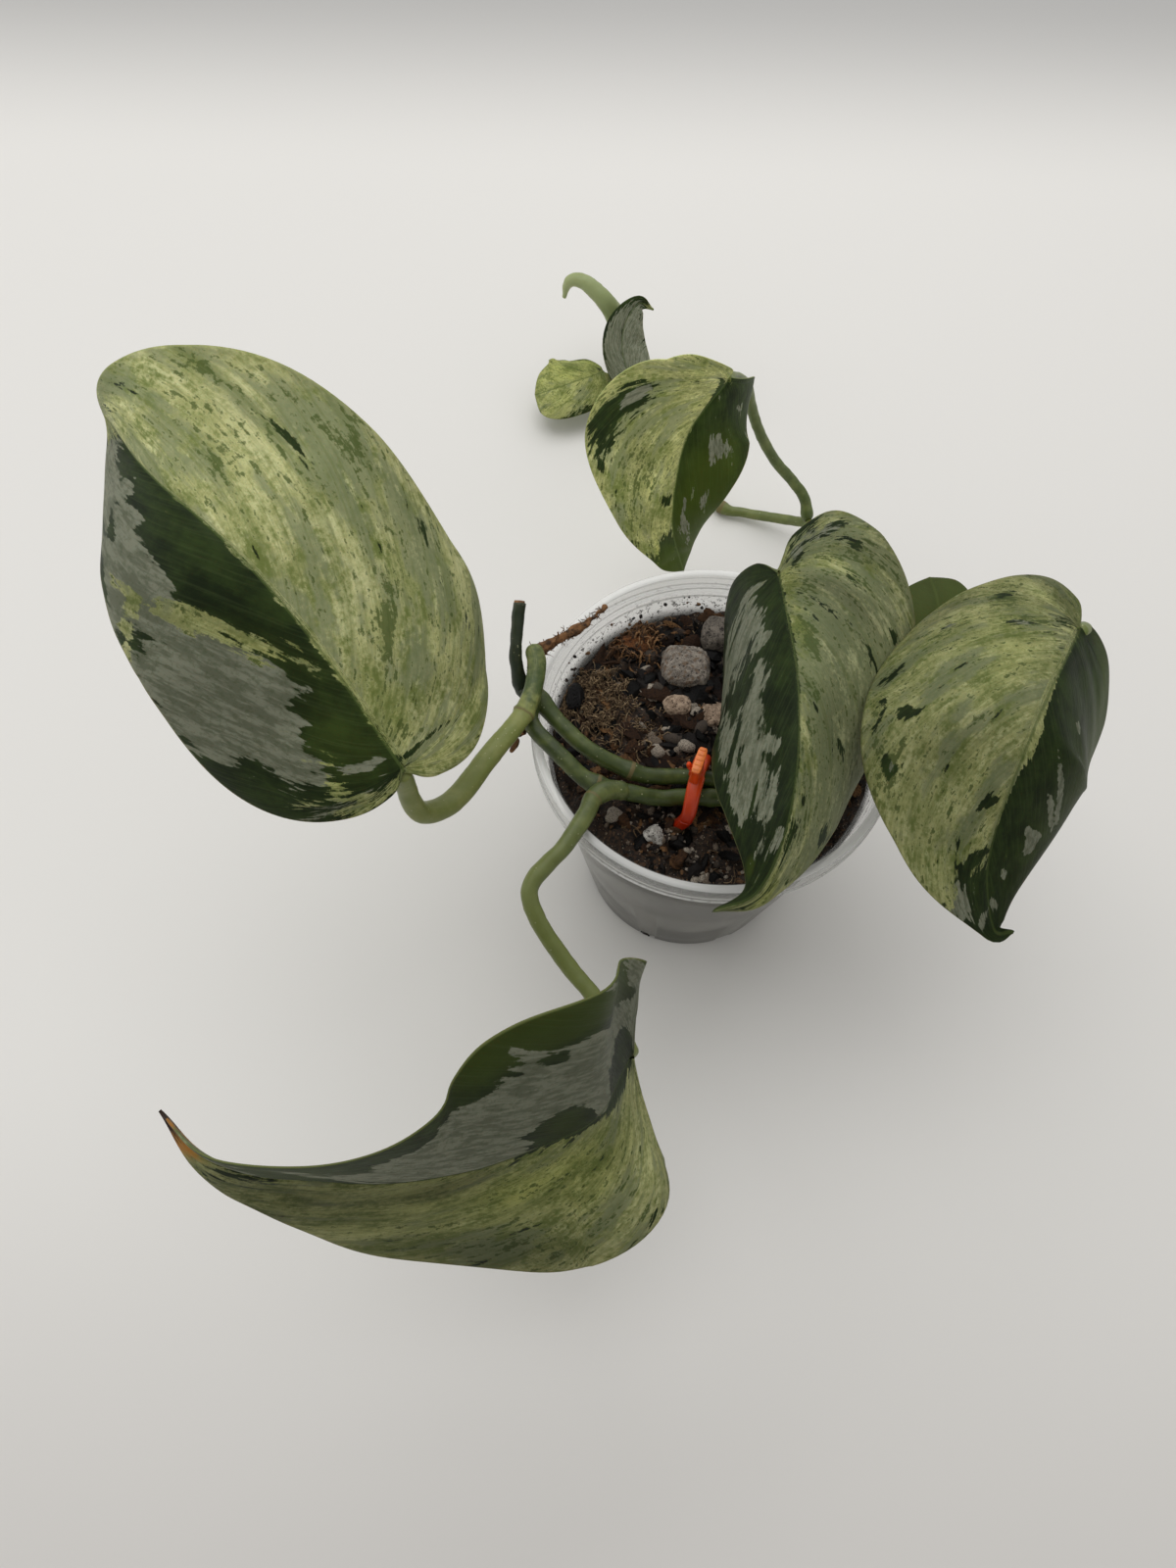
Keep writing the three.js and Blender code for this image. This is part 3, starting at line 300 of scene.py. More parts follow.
PETIOLES = {
    "a": ((2.1, 2.3, 2.5, 2.6, 2.4, 1.9), [(-44.9, 12.2, 97), (-43.5, 7.8, 96.2), (-43.8, 2.8, 95.2),
          (-44.8, -2.3, 94.8), (-47.1, -7.7, 95), (-52.9, -17.6, 96.6), (-58.3, -28, 98.5),
          (-61.7, -32.9, 101), (-65.2, -36, 105), (-66.8, -36.1, 110), (-67.3, -35.5, 117.5),
          (-67.2, -36, 124.6)]),
    "b": ((2.3, 1.95, 1.95, 1.9), [(-29, -19.5, 86.5), (-29, -26.7, 88.5), (-31.6, -32.3, 90),
          (-35.3, -36.6, 90), (-39, -40.6, 89), (-41.7, -43.8, 88), (-42.7, -46.7, 87),
          (-41.6, -50.1, 85), (-39, -54, 82), (-35.5, -58, 79), (-32.4, -61.4, 77), (-27, -67, 75),
          (-21, -75, 73.5), (-18.6, -79.6, 75.8)]),
    "c": ((2, 1.9, 1.8), [(22, -8, 68), (25, 2, 80), (24, 14, 93), (16, 23, 104), (12, 24.5, 111)]),
    "d": ((2.1, 2, 1.9), [(29, 2, 68), (34, 6, 82), (43, 10, 89.5), (56, 14, 98), (68, 14, 107),
          (75, 9, 114), (75, 5, 121), (72.2, 2, 124.8)]),
    "e": ((1.6, 1.4), [(31, -9, 68), (35, -6, 84), (43, -3, 88.8), (50, 2, 88), (53, 8, 87.8)]),
    "f": ((1.9, 1.75, 1.7, 1.5), [(42.5, 120, 13.5), (40.3, 124.3, 20), (35.3, 126.6, 26),
          (27.9, 127.2, 35), (20.9, 128, 47), (16.6, 128.8, 58), (14.4, 127.2, 66), (11.3, 122.6, 74),
          (7.5, 115.5, 82), (5.1, 108.3, 87.6)]),
    "g": ((1.4, 1.2), [(-14, 167, 4), (-15, 171, 6), (-17, 174.6, 10.3)]),
    "h": ((1.3, 1.1), [(-15, 171, 3), (-19, 177, 3.5), (-25, 184, 5.5), (-29.7, 190.4, 8)]),
}
FORK = [(-20.5, -19.4, 83.9), (-25.5, -20.3, 86.2), (-29, -23.4, 88), (-30.6, -28, 89.3)]
NEW_LEAF = ((1.6, 3.2, 4.2, 4.6, 4.2, 3.6, 3, 2.2, 0.5), [(-19, 178, 6), (-21.5, 190, 11), (-23.5, 198, 18),
            (-26, 202, 25), (-30.5, 203.7, 31), (-34.4, 205.8, 33.5), (-38.2, 207.8, 35),
            (-42.1, 208.7, 35), (-44.3, 209.4, 32), (-45.5, 209.5, 26)])
STUB = ((1.7, 1.5, 1.5), [(-47.2, 4.5, 90), (-48.6, 9.5, 96.5), (-48, 20, 103.5)])
DEAD_ROOT = ((1.4, 2.6, 2.2, 1.6, 1.1, 0.9, 0.6, 0.4), [(-44, 4.5, 91), (-44.5, 12, 92),
             (-42.2, 14.6, 92), (-39.7, 16.6, 92), (-36.9, 18.8, 91.5), (-33, 22.1, 91), (-29.7, 26.1, 90),
             (-27.5, 29.3, 89)])
CLIP = dict(x=-5.2, turn=-18, wire=3, width=3.2, front=-26, back=-7, crown=89, foot=67, tab_width=2.4,
            tab=7, tab_length=7)
STONES = {
    "pumice_1": ((-7, 20, 76), (7, 6.5, 5)), "pumice_2": ((3, 30, 76), (5.6, 5.4, 5.2)),
    "pumice_3": ((-9, 9, 76), (4.2, 3.2, 2.8)), "pumice_4": ((1, 6.5, 76), (4.2, 4.4, 3)),
    "perlite_1": ((-14, -27, 76), (3, 3, 2.6)), "bark_1": ((-20, 28, 73.5), (6.5, 3.6, 2.6)),
    "bark_2": ((11, 35.5, 75), (3, 1.8, 2.2)), "charcoal_1": ((-34.5, 11, 74), (2.6, 4.6, 3)),
}


# ---- Numbers and curves

def rgb(r, g, b):
    """A colour given as screen values from 0 to 255, as the shaders need it."""
    return tuple(((c / 255 + 0.055) / 1.055) ** 2.4 if c > 10 else c / 255 / 12.92 for c in (r, g, b)) + (1,)


def catmull(points, t, reflect=True):
    """Points on a uniform Catmull-Rom curve at shares t of its parameter."""
    p = np.asarray(points, float)
    ends = (2 * p[0] - p[1], 2 * p[-1] - p[-2]) if reflect else (p[0], p[-1])
    q = np.vstack([ends[0], p, ends[1]])
    t = np.clip(np.atleast_1d(t), 0, 1) * (len(p) - 1)
    i = np.clip(np.floor(t).astype(int), 0, len(p) - 2)
    f = (t - i)[:, None]
    a, b, c, d = q[i], q[i + 1], q[i + 2], q[i + 3]
    return 0.5 * (2 * b + (c - a) * f + (2 * a - 5 * b + 4 * c - d) * f**2 + (3 * b - a - 3 * c + d) * f**3)


def unit(v):
    return v / np.maximum(np.linalg.norm(v, axis=-1, keepdims=True), 1e-12)


def wobble(p, scale, seed, waves=7):
    """Smooth uneven values of about -1 to 1 over places p, with features 1/scale apart."""
    rng = np.random.default_rng(seed)
    total = np.zeros(p.shape[:-1])
    for _ in range(waves):
        heading = rng.normal(size=p.shape[-1])
        total += np.sin(p @ (heading * scale * 2.2) + rng.uniform(0, 6.28))
    return total / waves**0.5


def bell(x, centre, width):
    return np.exp(-(((x - centre) / width) ** 2))


def smoothstep(x, low, high):
    t = np.clip((x - low) / (high - low), 0, 1)
    return t * t * (3 - 2 * t)


# ---- Meshes

def make_piece(name, verts, faces, materials, node=None, smooth=True, fields=None, kinds=None):
    """A piece from points in mm and faces; fields are point attributes, kinds each face's material."""
    mesh = bpy.data.meshes.new(name)
    mesh.from_pydata((np.asarray(verts, float) * MM).tolist(), [], [tuple(map(int, f)) for f in faces])
    for key, values in (fields or {}).items():
        values = np.asarray(values, np.float32)
        kind = "FLOAT_VECTOR" if values.ndim == 2 else "FLOAT"
        layer = mesh.attributes.new(key, kind, "POINT")
        layer.data.foreach_set("vector" if values.ndim == 2 else "value", values.ravel())
    for m in materials if isinstance(materials, list) else [materials]:
        mesh.materials.append(m)
    if kinds is not None:
        mesh.polygons.foreach_set("material_index", np.asarray(kinds, np.int32))
    mesh.polygons.foreach_set("use_smooth", np.full(len(mesh.polygons), smooth))
    mesh.update()
    piece = bpy.data.objects.new(name, mesh)
    bpy.context.scene.collection.objects.link(piece)
    return dress(piece, node)


def dress(piece, node=None):
    """Puts a piece on the one body, in place of the solids it stands for, if any."""
    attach(piece, "root")
    if node:
        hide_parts(*([node] if isinstance(node, str) else node))
    return piece


def merge(parts):
    """Joins (verts, faces, fields) triples into one."""
    verts, faces, fields, start = [], [], {}, 0
    for v, f, extra in parts:
        verts.append(v)
        faces += [tuple(i + start for i in face) for face in f]
        for key, values in extra.items():
            fields.setdefault(key, []).append(values)
        start += len(v)
    return np.vstack(verts), faces, {k: np.concatenate(x) for k, x in fields.items()}


def ring_faces(rings, sides):
    """Faces of a row of equal rings of points, with its two ends closed."""
    faces = []
    for i in range(rings - 1):
        for k in range(sides):
            a, b = i * sides + k, i * sides + (k + 1) % sides
            faces.append((a, b, b + sides, a + sides))
    last = (rings - 1) * sides
    return faces + [tuple(reversed(range(sides))), tuple(range(last, last + sides))]


def merged_piece(name, parts, material, node=None, smooth=True):
    """One piece made of several parts."""
    verts, faces, fields = merge(parts)
    make_piece(name, verts, faces, material, node, smooth=smooth, fields=fields)


# ---- Materials

class Shader:
    """Builds one node material; values may be sockets or constants."""

    def __init__(self, name):
        self.material = bpy.data.materials.new(name)
        self.material.use_nodes = True
        self.tree = self.material.node_tree
        self.surface = self.tree.nodes["Principled BSDF"]

    def add(self, kind, values=None, **settings):
        node = self.tree.nodes.new(kind)
        for key, value in settings.items():
            setattr(node, key, value)
        for key, value in (values or {}).items():
            self.put(node.inputs[key], value)
        return node

    def put(self, socket, value):
        if isinstance(value, bpy.types.NodeSocket):
            self.tree.links.new(value, socket)
        elif value is not None:
            socket.default_value = value

    def math(self, operation, a, b=None, c=None, clamp=False):
        values = {i: v for i, v in enumerate((a, b, c)) if v is not None}
        return self.add("ShaderNodeMath", values, operation=operation, use_clamp=clamp).outputs[0]

    def total(self, *terms):
        """Sum of (weight, socket) pairs and constants."""
        result = None
        for term in terms:
            value = self.math("MULTIPLY", term[1], term[0]) if isinstance(term, tuple) else term
            result = value if result is None else self.math("ADD", result, value)
        return result

    def field(self, name):
        return self.add("ShaderNodeAttribute", attribute_name=name).outputs

    def place(self):
        """Place on the object in millimetres."""
        where = self.add("ShaderNodeTexCoord").outputs["Object"]
        return self.stretch(where, (1000, 1000, 1000))

    def stretch(self, vector, factors):
        node = self.add("ShaderNodeVectorMath", {0: vector, 1: factors}, operation="MULTIPLY")
        return node.outputs[0]

    def split(self, vector):
        return self.add("ShaderNodeSeparateXYZ", {0: vector}).outputs

    def noise(self, vector, scale=1.0, detail=2.0, rough=0.5, warp=0.0):
        values = {"Vector": vector, "Scale": scale, "Detail": detail, "Roughness": rough, "Distortion": warp}
        return self.add("ShaderNodeTexNoise", values).outputs["Fac"]

    def cells(self, vector, scale=1.0, feature="F1"):
        values = {"Vector": vector, "Scale": scale}
        return self.add("ShaderNodeTexVoronoi", values, feature=feature).outputs[0]

    def step(self, value, low, high, to=(0.0, 1.0)):
        values = {"Value": value, "From Min": low, "From Max": high, "To Min": to[0], "To Max": to[1]}
        return self.add("ShaderNodeMapRange", values, interpolation_type="SMOOTHSTEP").outputs[0]

    def mix(self, share, a, b, blend="MIX"):
        node = self.add("ShaderNodeMix", data_type="RGBA", blend_type=blend)
        self.put(node.inputs[0], share)
        self.put(node.inputs[6], a)
        self.put(node.inputs[7], b)
        return node.outputs[2]

    def bump(self, height, distance, strength=1.0, normal=None):
        """distance in mm."""
        values = {"Height": height, "Distance": distance * MM, "Strength": strength, "Normal": normal}
        return self.add("ShaderNodeBump", values).outputs[0]

    def finish(self, **inputs):
        for key, value in inputs.items():
            self.put(self.surface.inputs[key.replace("_", " ")], value)
        return self.material


def leaf_material(name, under=False):
    """Half pale, half dark blade. Point fields: vein (v, u, half), marks (pale, silver, fleck),
    tones (yellow, lightness as painted light and shade, scorch) and flat (place on the flat leaf in mm)."""
    s = Shader(name)
    vein = s.field("vein")["Vector"]
    marks = s.split(s.field("marks")["Vector"])
    tones = s.split(s.field("tones")["Vector"])
    flat = s.field("flat")["Vector"]
    broad = s.noise(s.stretch(vein, (16, 2.8, 9)), detail=2.0, rough=0.55)
    streak = s.noise(s.stretch(vein, (52, 6.5, 7)), detail=2.0, rough=0.6)
    dash = s.noise(s.stretch(vein, (125, 15, 5)), detail=2.0, rough=0.6)
    lines = s.noise(s.stretch(vein, (260, 3.5, 3)), detail=1.0)
    cloud = s.noise(s.stretch(flat, (0.12, 0.12, 3)), detail=5.0, rough=0.72)
    grain = s.noise(s.stretch(flat, (0.85, 0.85, 3)), detail=3.0, rough=0.7)
    jag = s.total((1.9, broad), (2.3, streak), (1.9, dash), (0.9, grain), -3.5)
    pale = s.step(s.math("ADD", marks[0], jag), -0.13, 0.13)
    fray = s.total((1.7, broad), (2.1, streak), (1.0, dash), (0.4, grain), -2.6)
    silver = s.step(s.math("ADD", marks[1], fray), 0.42, 0.6)
    spots = s.total((0.8, broad), (1.6, streak), (2.0, dash), (2.2, grain), -3.3)
    fleck = s.step(s.math("ADD", marks[2], spots), 0.2, 0.62)
    # Dark tissue, with deeper and fresher green in slow patches, and silver flushes over it
    depth = s.total((1.2, cloud), (0.7, streak), (0.7, broad), -0.9)
    dark = s.mix(s.step(depth, 0.1, 0.8), rgb(26, 36, 17), rgb(50, 65, 29))
    dark = s.mix(s.step(tones[0], 0.2, 1.1, (0, 0.65)), dark, rgb(66, 80, 24))
    dark = s.mix(s.step(lines, 0.5, 0.7, (0, 0.14)), dark, rgb(84, 98, 60))
    glint = s.step(s.total((0.5, streak), (0.5, dash)), 0.42, 0.58)
    metal = s.mix(glint, rgb(101, 105, 86), rgb(130, 133, 114))
    metal = s.mix(s.step(grain, 0.5, 0.36, (0, 0.35)), metal, rgb(72, 82, 54))
    dark = s.mix(s.math("MULTIPLY", silver, 0.95), dark, metal)
    # Pale tissue: khaki drawn out along the veins, under grey-green patches, cream streaks and flecks
    tone = s.total((1.4, streak), (1.2, broad), (1.0, dash), (1.3, grain), (1.9, cloud), -3.4)
    light = s.mix(s.step(tone, -0.55, 0.5), rgb(101, 111, 60), rgb(168, 169, 117))
    veil = s.total((-2.0, broad), (1.3, streak), (1.6, cloud), (-0.7, tones[0]), -0.33)
    light = s.mix(s.step(veil, -0.1, 0.3, (0, 0.72)), light, rgb(113, 120, 90))
    cream = s.total((1.3, broad), (-1.4, streak), (1.2, dash), (1.5, grain), (1.4, cloud), -2.0)
    light = s.mix(s.step(cream, 0.0, 0.75, (0, 0.65)), light, rgb(188, 189, 142))
    light = s.mix(s.step(lines, 0.48, 0.3, (0, 0.35)), light, rgb(98, 107, 60))
    wave = s.total((69.1, s.split(vein)[0]), (2.5, broad))
    rib = s.step(s.math("COSINE", wave), 0.88, 0.99, (0, 0.28))
    light = s.mix(rib, light, rgb(86, 98, 46))
    light = s.mix(s.math("MULTIPLY", fleck, 0.85), light, rgb(66, 80, 36))
    golden = s.step(s.total(tones[0], (0.8, broad), -0.4), 0.1, 1.1, (0, 0.85))
    light = s.mix(golden, light, (0.94, 1, 0.52, 1), "MULTIPLY")
    colour = s.mix(pale, dark, light)
    # A thin pale edge and the line of the midrib
    across = s.math("ABSOLUTE", s.split(flat)[1])
    edge = s.step(s.split(vein)[1], 0.985, 1.0, (0, 0.5))
    colour = s.mix(edge, colour, rgb(136, 144, 92))
    colour = s.mix(s.step(across, 0.42, 0.15, (0, 0.55)), colour, rgb(78, 92, 48))
    if under:
        colour = s.mix(0.55, colour, rgb(100, 112, 60))
    # Painted light and shade: the lightness field brightens or darkens the colour by how the leaf is lit,
    # less where silver flushes the dark tissue.
    flush = s.math("MULTIPLY", silver, s.math("SUBTRACT", 1.0, pale))
    part = s.math("SUBTRACT", 1.0, s.math("MULTIPLY", flush, 0.4))
    painted_light_gain = s.math("ADD", 1.0, s.math("MULTIPLY", tones[1], part))
    colour = s.add("ShaderNodeVectorMath", {0: colour, "Scale": painted_light_gain}, operation="SCALE").outputs[0]
    burnt = s.math("MULTIPLY", tones[2], s.total((1.6, cloud), (1.2, streak), -0.4))
    colour = s.mix(s.step(burnt, 0.12, 0.42), colour, rgb(150, 104, 44))
    colour = s.mix(s.step(burnt, 0.5, 0.78), colour, rgb(38, 24, 16))
    rough = s.total((0.06, silver), (0.1, pale), (0.2, dash), 0.42 if under else 0.36)
    ridges = s.total((0.8, lines), (0.5, streak), (0.4, grain))
    normal = s.bump(ridges, 0.12 if under else 0.1, 0.7)
    return s.finish(Base_Color=colour, Roughness=rough, Normal=normal, IOR=1.42, Specular_IOR_Level=0.1,
                    Subsurface_Weight=0.05, Subsurface_Scale=0.002)


def stem_material(name, low, high, tint, gloss=0.42, turns=(0.0, 1.0)):
    """Green skin from low to high between two shares of its length, with fine lines and pores."""
    s = Shader(name)
    along = s.field("along")["Fac"]
    around = s.field("grain")["Vector"]
    where = s.place()
    lines = s.noise(s.stretch(around, (5, 0.25, 1)), detail=3.0, rough=0.6)
    cloud = s.noise(where, 0.22, 3.0, 0.6)
    pores = s.cells(where, 0.8)
    colour = s.mix(s.step(s.total(along, (0.25, cloud), -0.12), *turns), low, high)
    colour = s.mix(s.step(cloud, 0.4, 0.72, (0, 0.7)), colour, tint)
    colour = s.mix(s.step(lines, 0.52, 0.75, (0, 0.35)), colour, tint)
    dots = s.math("MULTIPLY", s.step(pores, 0.16, 0.08), s.step(s.noise(where, 0.5), 0.5, 0.62))
    colour = s.mix(s.math("MULTIPLY", dots, 0.8), colour, rgb(184, 184, 146))
    scar = s.field("scar")["Fac"]
    worn = s.total(scar, (0.5, s.noise(where, 1.1, 3.0)), -0.25)
    colour = s.mix(s.step(worn, 0.34, 0.6, (0, 0.75)), colour, rgb(112, 98, 62))
    normal = s.bump(s.total((0.5, lines), (0.3, s.noise(where, 1.6, 3.0)), (0.3, dots)), 0.12, 0.6)
    rough = s.total((0.2, cloud), (0.25, scar), gloss - 0.1)
    return s.finish(Base_Color=colour, Roughness=rough, Normal=normal, IOR=1.42,
                    Subsurface_Weight=0.06, Subsurface_Scale=0.002)


def mineral(name, dark, light, pit=0.9, grain=1.4, gloss=0.9, depth=0.35, veil=None, sheen=0.3):
    """Rough lump: clouds of two tones, pits darkened with painted shade, and fine grain."""
    s = Shader(name)
    where = s.place()
    cloud = s.noise(where, 0.35 * grain, 4.0, 0.65)
    fine = s.noise(where, 2.6 * grain, 3.0, 0.7)
    holes = s.cells(where, pit)
    colour = s.mix(s.step(s.total((0.5, cloud), (0.5, fine)), 0.36, 0.62), dark, light)
    # Painted shade: the pits, dented by the bump, are darkened as hollows in shade.
    shaded_pits = s.step(holes, 0.3, 0.14)
    colour = s.mix(s.math("MULTIPLY", shaded_pits, 0.75), colour, tuple(c * 0.35 for c in dark[:3]) + (1,))
    if veil:
        colour = s.mix(s.step(s.noise(where, 0.8, 3.0), 0.52, 0.64, (0, 0.8)), colour, veil)
    normal = s.bump(s.total((0.6, fine), (0.5, cloud), (-0.6, shaded_pits)), depth, 0.9)
    return s.finish(Base_Color=colour, Roughness=gloss, Normal=normal, Specular_IOR_Level=sheen)


def varied(name, stops, gloss, grain=1.2, depth=0.25, fleck=None, sheen=0.0):
    """Crumbs whose tone runs through stops by the point field tone, with grain in each."""
    s = Shader(name)
    tone = s.field("tone")["Fac"]
    where = s.place()
    fine = s.noise(where, 1.7 * grain, 4.0, 0.7)
    value = s.total(tone, (0.35, fine), -0.17)
    colour = stops[0]
    for i, stop in enumerate(stops[1:], 1):
        at = i / len(stops)
        colour = s.mix(s.step(value, at - 0.1, at + 0.1), colour, stop)
    colour = s.mix(s.step(fine, 0.56, 0.38, (0, 0.6)), colour, rgb(14, 10, 8))
    if fleck:
        colour = s.mix(s.step(s.noise(where, 2.3, 2.0), 0.64, 0.72), colour, fleck)
    normal = s.bump(fine, depth, 0.9)
    rough = s.total((0.3, fine), gloss - 0.15)
    return s.finish(Base_Color=colour, Roughness=rough, Normal=normal, Specular_IOR_Level=0.5 + sheen)


# ---- Leaves

class Leaf:
    """The solids' leaf form: a flat outline folded and curled about a curved midrib."""

    def __init__(self, shape):
        self.shape = shape
        self.curve = catmull(shape["rib"], np.linspace(0, 1, 401))
        self.steps = np.r_[0, np.cumsum(np.linalg.norm(np.diff(self.curve, axis=0), axis=1))]
        self.length = self.steps[-1]

    def read(self, x):
        """Places on the midrib, x mm along it."""
        return np.stack([np.interp(x, self.steps, self.curve[:, k]) for k in range(3)], -1)

    def along(self, values, share):
        """A value between those at base, middle and tip."""
        base, middle, tip = values
        return base * (1 - share) * (1 - 2 * share) + middle * 4 * share * (1 - share) \
            + tip * share * (2 * share - 1)

    def margin(self, v, side):
        """Where the veins to places v on the margin start on the rib, and where they end."""
        half = self.shape["right"] if side > 0 else self.shape["left"]
        edge = catmull(OUTLINES[self.shape["outline"]], v, reflect=False)
        rib_x = np.maximum(edge[:, 0], 0) ** VEIN_START * self.length
        edge_x = np.where(edge[:, 0] < 0, edge[:, 0] * half[1], edge[:, 0]) * self.length
        return rib_x, edge_x, edge[:, 1] * half[0]

    def flat(self, v, u, side):
        """Places on the flat leaf, in mm along the rib and out from it."""
        rib_x, edge_x, edge_y = self.margin(v, side)
        return rib_x + (edge_x - rib_x) * u**VEIN_BEND, u * edge_y

    def at(self, x, y, side):
        """Folds and curls places of the flat leaf about the midrib, with the way up there."""
        width, _, folds, curls = self.shape["right"] if side > 0 else self.shape["left"]
        share = np.clip(x / self.length, 0, 1)
        reach = share * self.length
        step = self.length * 0.004
        start = np.clip(reach - step, 0, self.length - 2 * step)
        tangent = unit(self.read(start + 2 * step) - self.read(start))
        point = self.read(reach) + tangent * np.minimum(x, 0)[:, None]
        face = np.array(self.shape["face"], float)
        up = unit(face - (tangent @ face)[:, None] * tangent)
        turn = np.radians(self.along(self.shape["roll"], share))[:, None]
        up = up * np.cos(turn) + np.cross(tangent, up) * np.sin(turn)
        right = np.cross(tangent, up)
        fold = np.radians(self.along(folds, share))
        bend = np.radians(self.along(curls, share)) / width
        bend = np.where(np.abs(bend) < 1e-6, 1e-6, bend)
        out = (np.sin(fold + bend * y) - np.sin(fold)) / bend
        rise = (np.cos(fold) - np.cos(fold + bend * y)) / bend
        return point + right * (side * out)[:, None] + up * rise[:, None], up


def relaxed(grid, low, high, rows=9):
    """Evens out the outer part of a half blade between two places on its margin."""
    soft = grid.copy()
    for _ in range(3):
        padded = np.concatenate([np.repeat(soft[:1], rows, 0), soft, np.repeat(soft[-1:], rows, 0)])
        sums = np.cumsum(np.concatenate([np.zeros_like(soft[:1]), padded]), 0)
        soft = (sums[2 * rows + 1:] - sums[:-2 * rows - 1]) / (2 * rows + 1)
    v, u = np.linspace(0, 1, grid.shape[0])[:, None], np.linspace(0, 1, grid.shape[1])[None, :]
    share = smoothstep(u, 0.35, 0.75) * smoothstep(v, low, low + 0.15) * smoothstep(v, high, high - 0.15)
    return grid + (soft - grid) * share[:, :, None]


def leaf_piece(key, shape, top, under):
    leaf = Leaf(shape)
    """A thin closed blade with its markings as point fields; both halves share the midrib's points."""
    small = shape.get("small", False)
    rows, columns = SMALL_GRID if small else GRID
    share = np.linspace(0, 1, rows + 1)
    seed = ord(key)
    index, verts, info = {}, [], []
    for side in (-1, 1):
        v = np.repeat(share, columns + 1)
        u = np.tile(np.linspace(0, 1, columns + 1) ** 0.85, rows + 1)
        x, y = leaf.flat(v, u, side)
        points, up = leaf.at(x, y, side)
        # Soft undulation, strongest towards the margin
        lift = 0.45 * u**2 * wobble(np.stack([x, side * y], -1), 0.045, seed)
        lift += 0.12 * wobble(np.stack([x, side * y], -1), 0.14, seed + 1)
        quilt = 0.13 * np.cos(2 * np.pi * v * 11) * smoothstep(u, 0.02, 0.2) * smoothstep(u, 1.0, 0.75)
        groove = -0.32 * bell(y, 0, 0.8) * smoothstep(share[-1] - v, 0, 0.15)
        lift += 0 if small else quilt * smoothstep(v, 0.3, 0.42) * smoothstep(v, 0.94, 0.84)
        points = points + up * (lift + groove)[:, None]
        bent, low, high = shape.get("relax", (0, 0, 1))
        if bent == side:
            points = relaxed(points.reshape(rows + 1, columns + 1, 3), low, high).reshape(-1, 3)
        for n in range(len(v)):
            i, j = divmod(n, columns + 1)
            pinched = i in (0, rows)
            name = (i, 0) if pinched or j == 0 else (i, j * side)
            if name not in index:
                index[name] = len(verts)
                verts.append(points[n])
                info.append((v[n], u[n], side if j else 0, x[n], side * y[n]))
    verts, info = np.array(verts), np.array(info)

    def at(i, j):
        return index[(i, 0)] if i in (0, rows) else index[(i, j)]

    faces = []
    for i in range(rows):
        for j in range(-columns, columns):
            ring = [at(i, j), at(i, j + 1), at(i + 1, j + 1), at(i + 1, j)]
            ring = [p for n, p in enumerate(ring) if p != ring[n - 1]]
            if len(ring) > 2:
                faces.append(ring)
    normals = np.zeros_like(verts)
    for ring in faces:
        a, b, c = verts[ring[0]], verts[ring[1]], verts[ring[2]]
        across = np.cross(b - a, c - a)
        for p in ring:
            normals[p] += across
    normals = unit(normals)
    v, u, side, x, y = info.T
    thick = BLADE * (0.5 - 0.22 * smoothstep(u, 0.9, 1.0))
    keel = 0.9 * bell(y, 0, 0.75) * smoothstep(leaf.length * 1.02 - x, 0, leaf.length * 0.9)
    keel *= 0.35 if small else 1
    upper = verts + normals * thick[:, None]
    lower = verts - normals * (thick + keel)[:, None]
    count = len(verts)
    solid = [tuple(f) for f in faces] + [tuple(p + count for p in reversed(f)) for f in faces]
    kinds = [0] * len(faces) + [1] * len(faces)
    border = {}
    for f in faces:
        for n, p in enumerate(f):
            q = f[(n + 1) % len(f)]
            if (q, p) in border:
                del border[(q, p)]
            else:
                border[(p, q)] = True
    for p, q in border:
        solid.append((q, p, p + count, q + count))
        kinds.append(0)
    # Fields: tissue starts from which half is pale, then the marks are laid on
    half_of = {1: side, -1: -side, 0: -np.ones_like(side), 2: np.ones_like(side)}[shape["pale"]]
    channels = {"P": np.where(half_of > 0, PALE_HALF, np.where(half_of < 0, DARK_HALF, PALE_RIB))}
    bases = (SILVER, FLECKS, *shape["tone"], 0)
    channels |= {kind: np.full(count, float(base)) for kind, base in zip("SFYLB", bases)}
    for (half, channel), marks in MARKS[key].items():
        for v0, u0, dv, du, amount, *slope in marks:
            centre = v0 + sum(slope) * (u - u0)
            reach = ((v - centre) / dv) ** 2 + ((u - u0) / du) ** 2
            channels[channel] += amount * np.exp(-(reach**FADE)) * (side * half >= 0)
    fields = {
        "vein": np.stack([v - 0.16 * u, u, seed * 0.37 + np.where(side > 0, 2.3, 0)], -1),
        "marks": np.stack([channels[c] for c in "PSF"], -1),
        "tones": np.stack([channels[c] for c in "YLB"], -1),
        "flat": np.stack([x, y, np.full(count, seed * 1.7)], -1),
    }
    fields = {k: np.concatenate([a, a]) for k, a in fields.items()}
    make_piece("leaf_%s_blade" % key, np.vstack([upper, lower]), solid, [top, under],
               node="leaf_" + key, fields=fields, kinds=kinds)


# ---- Stems

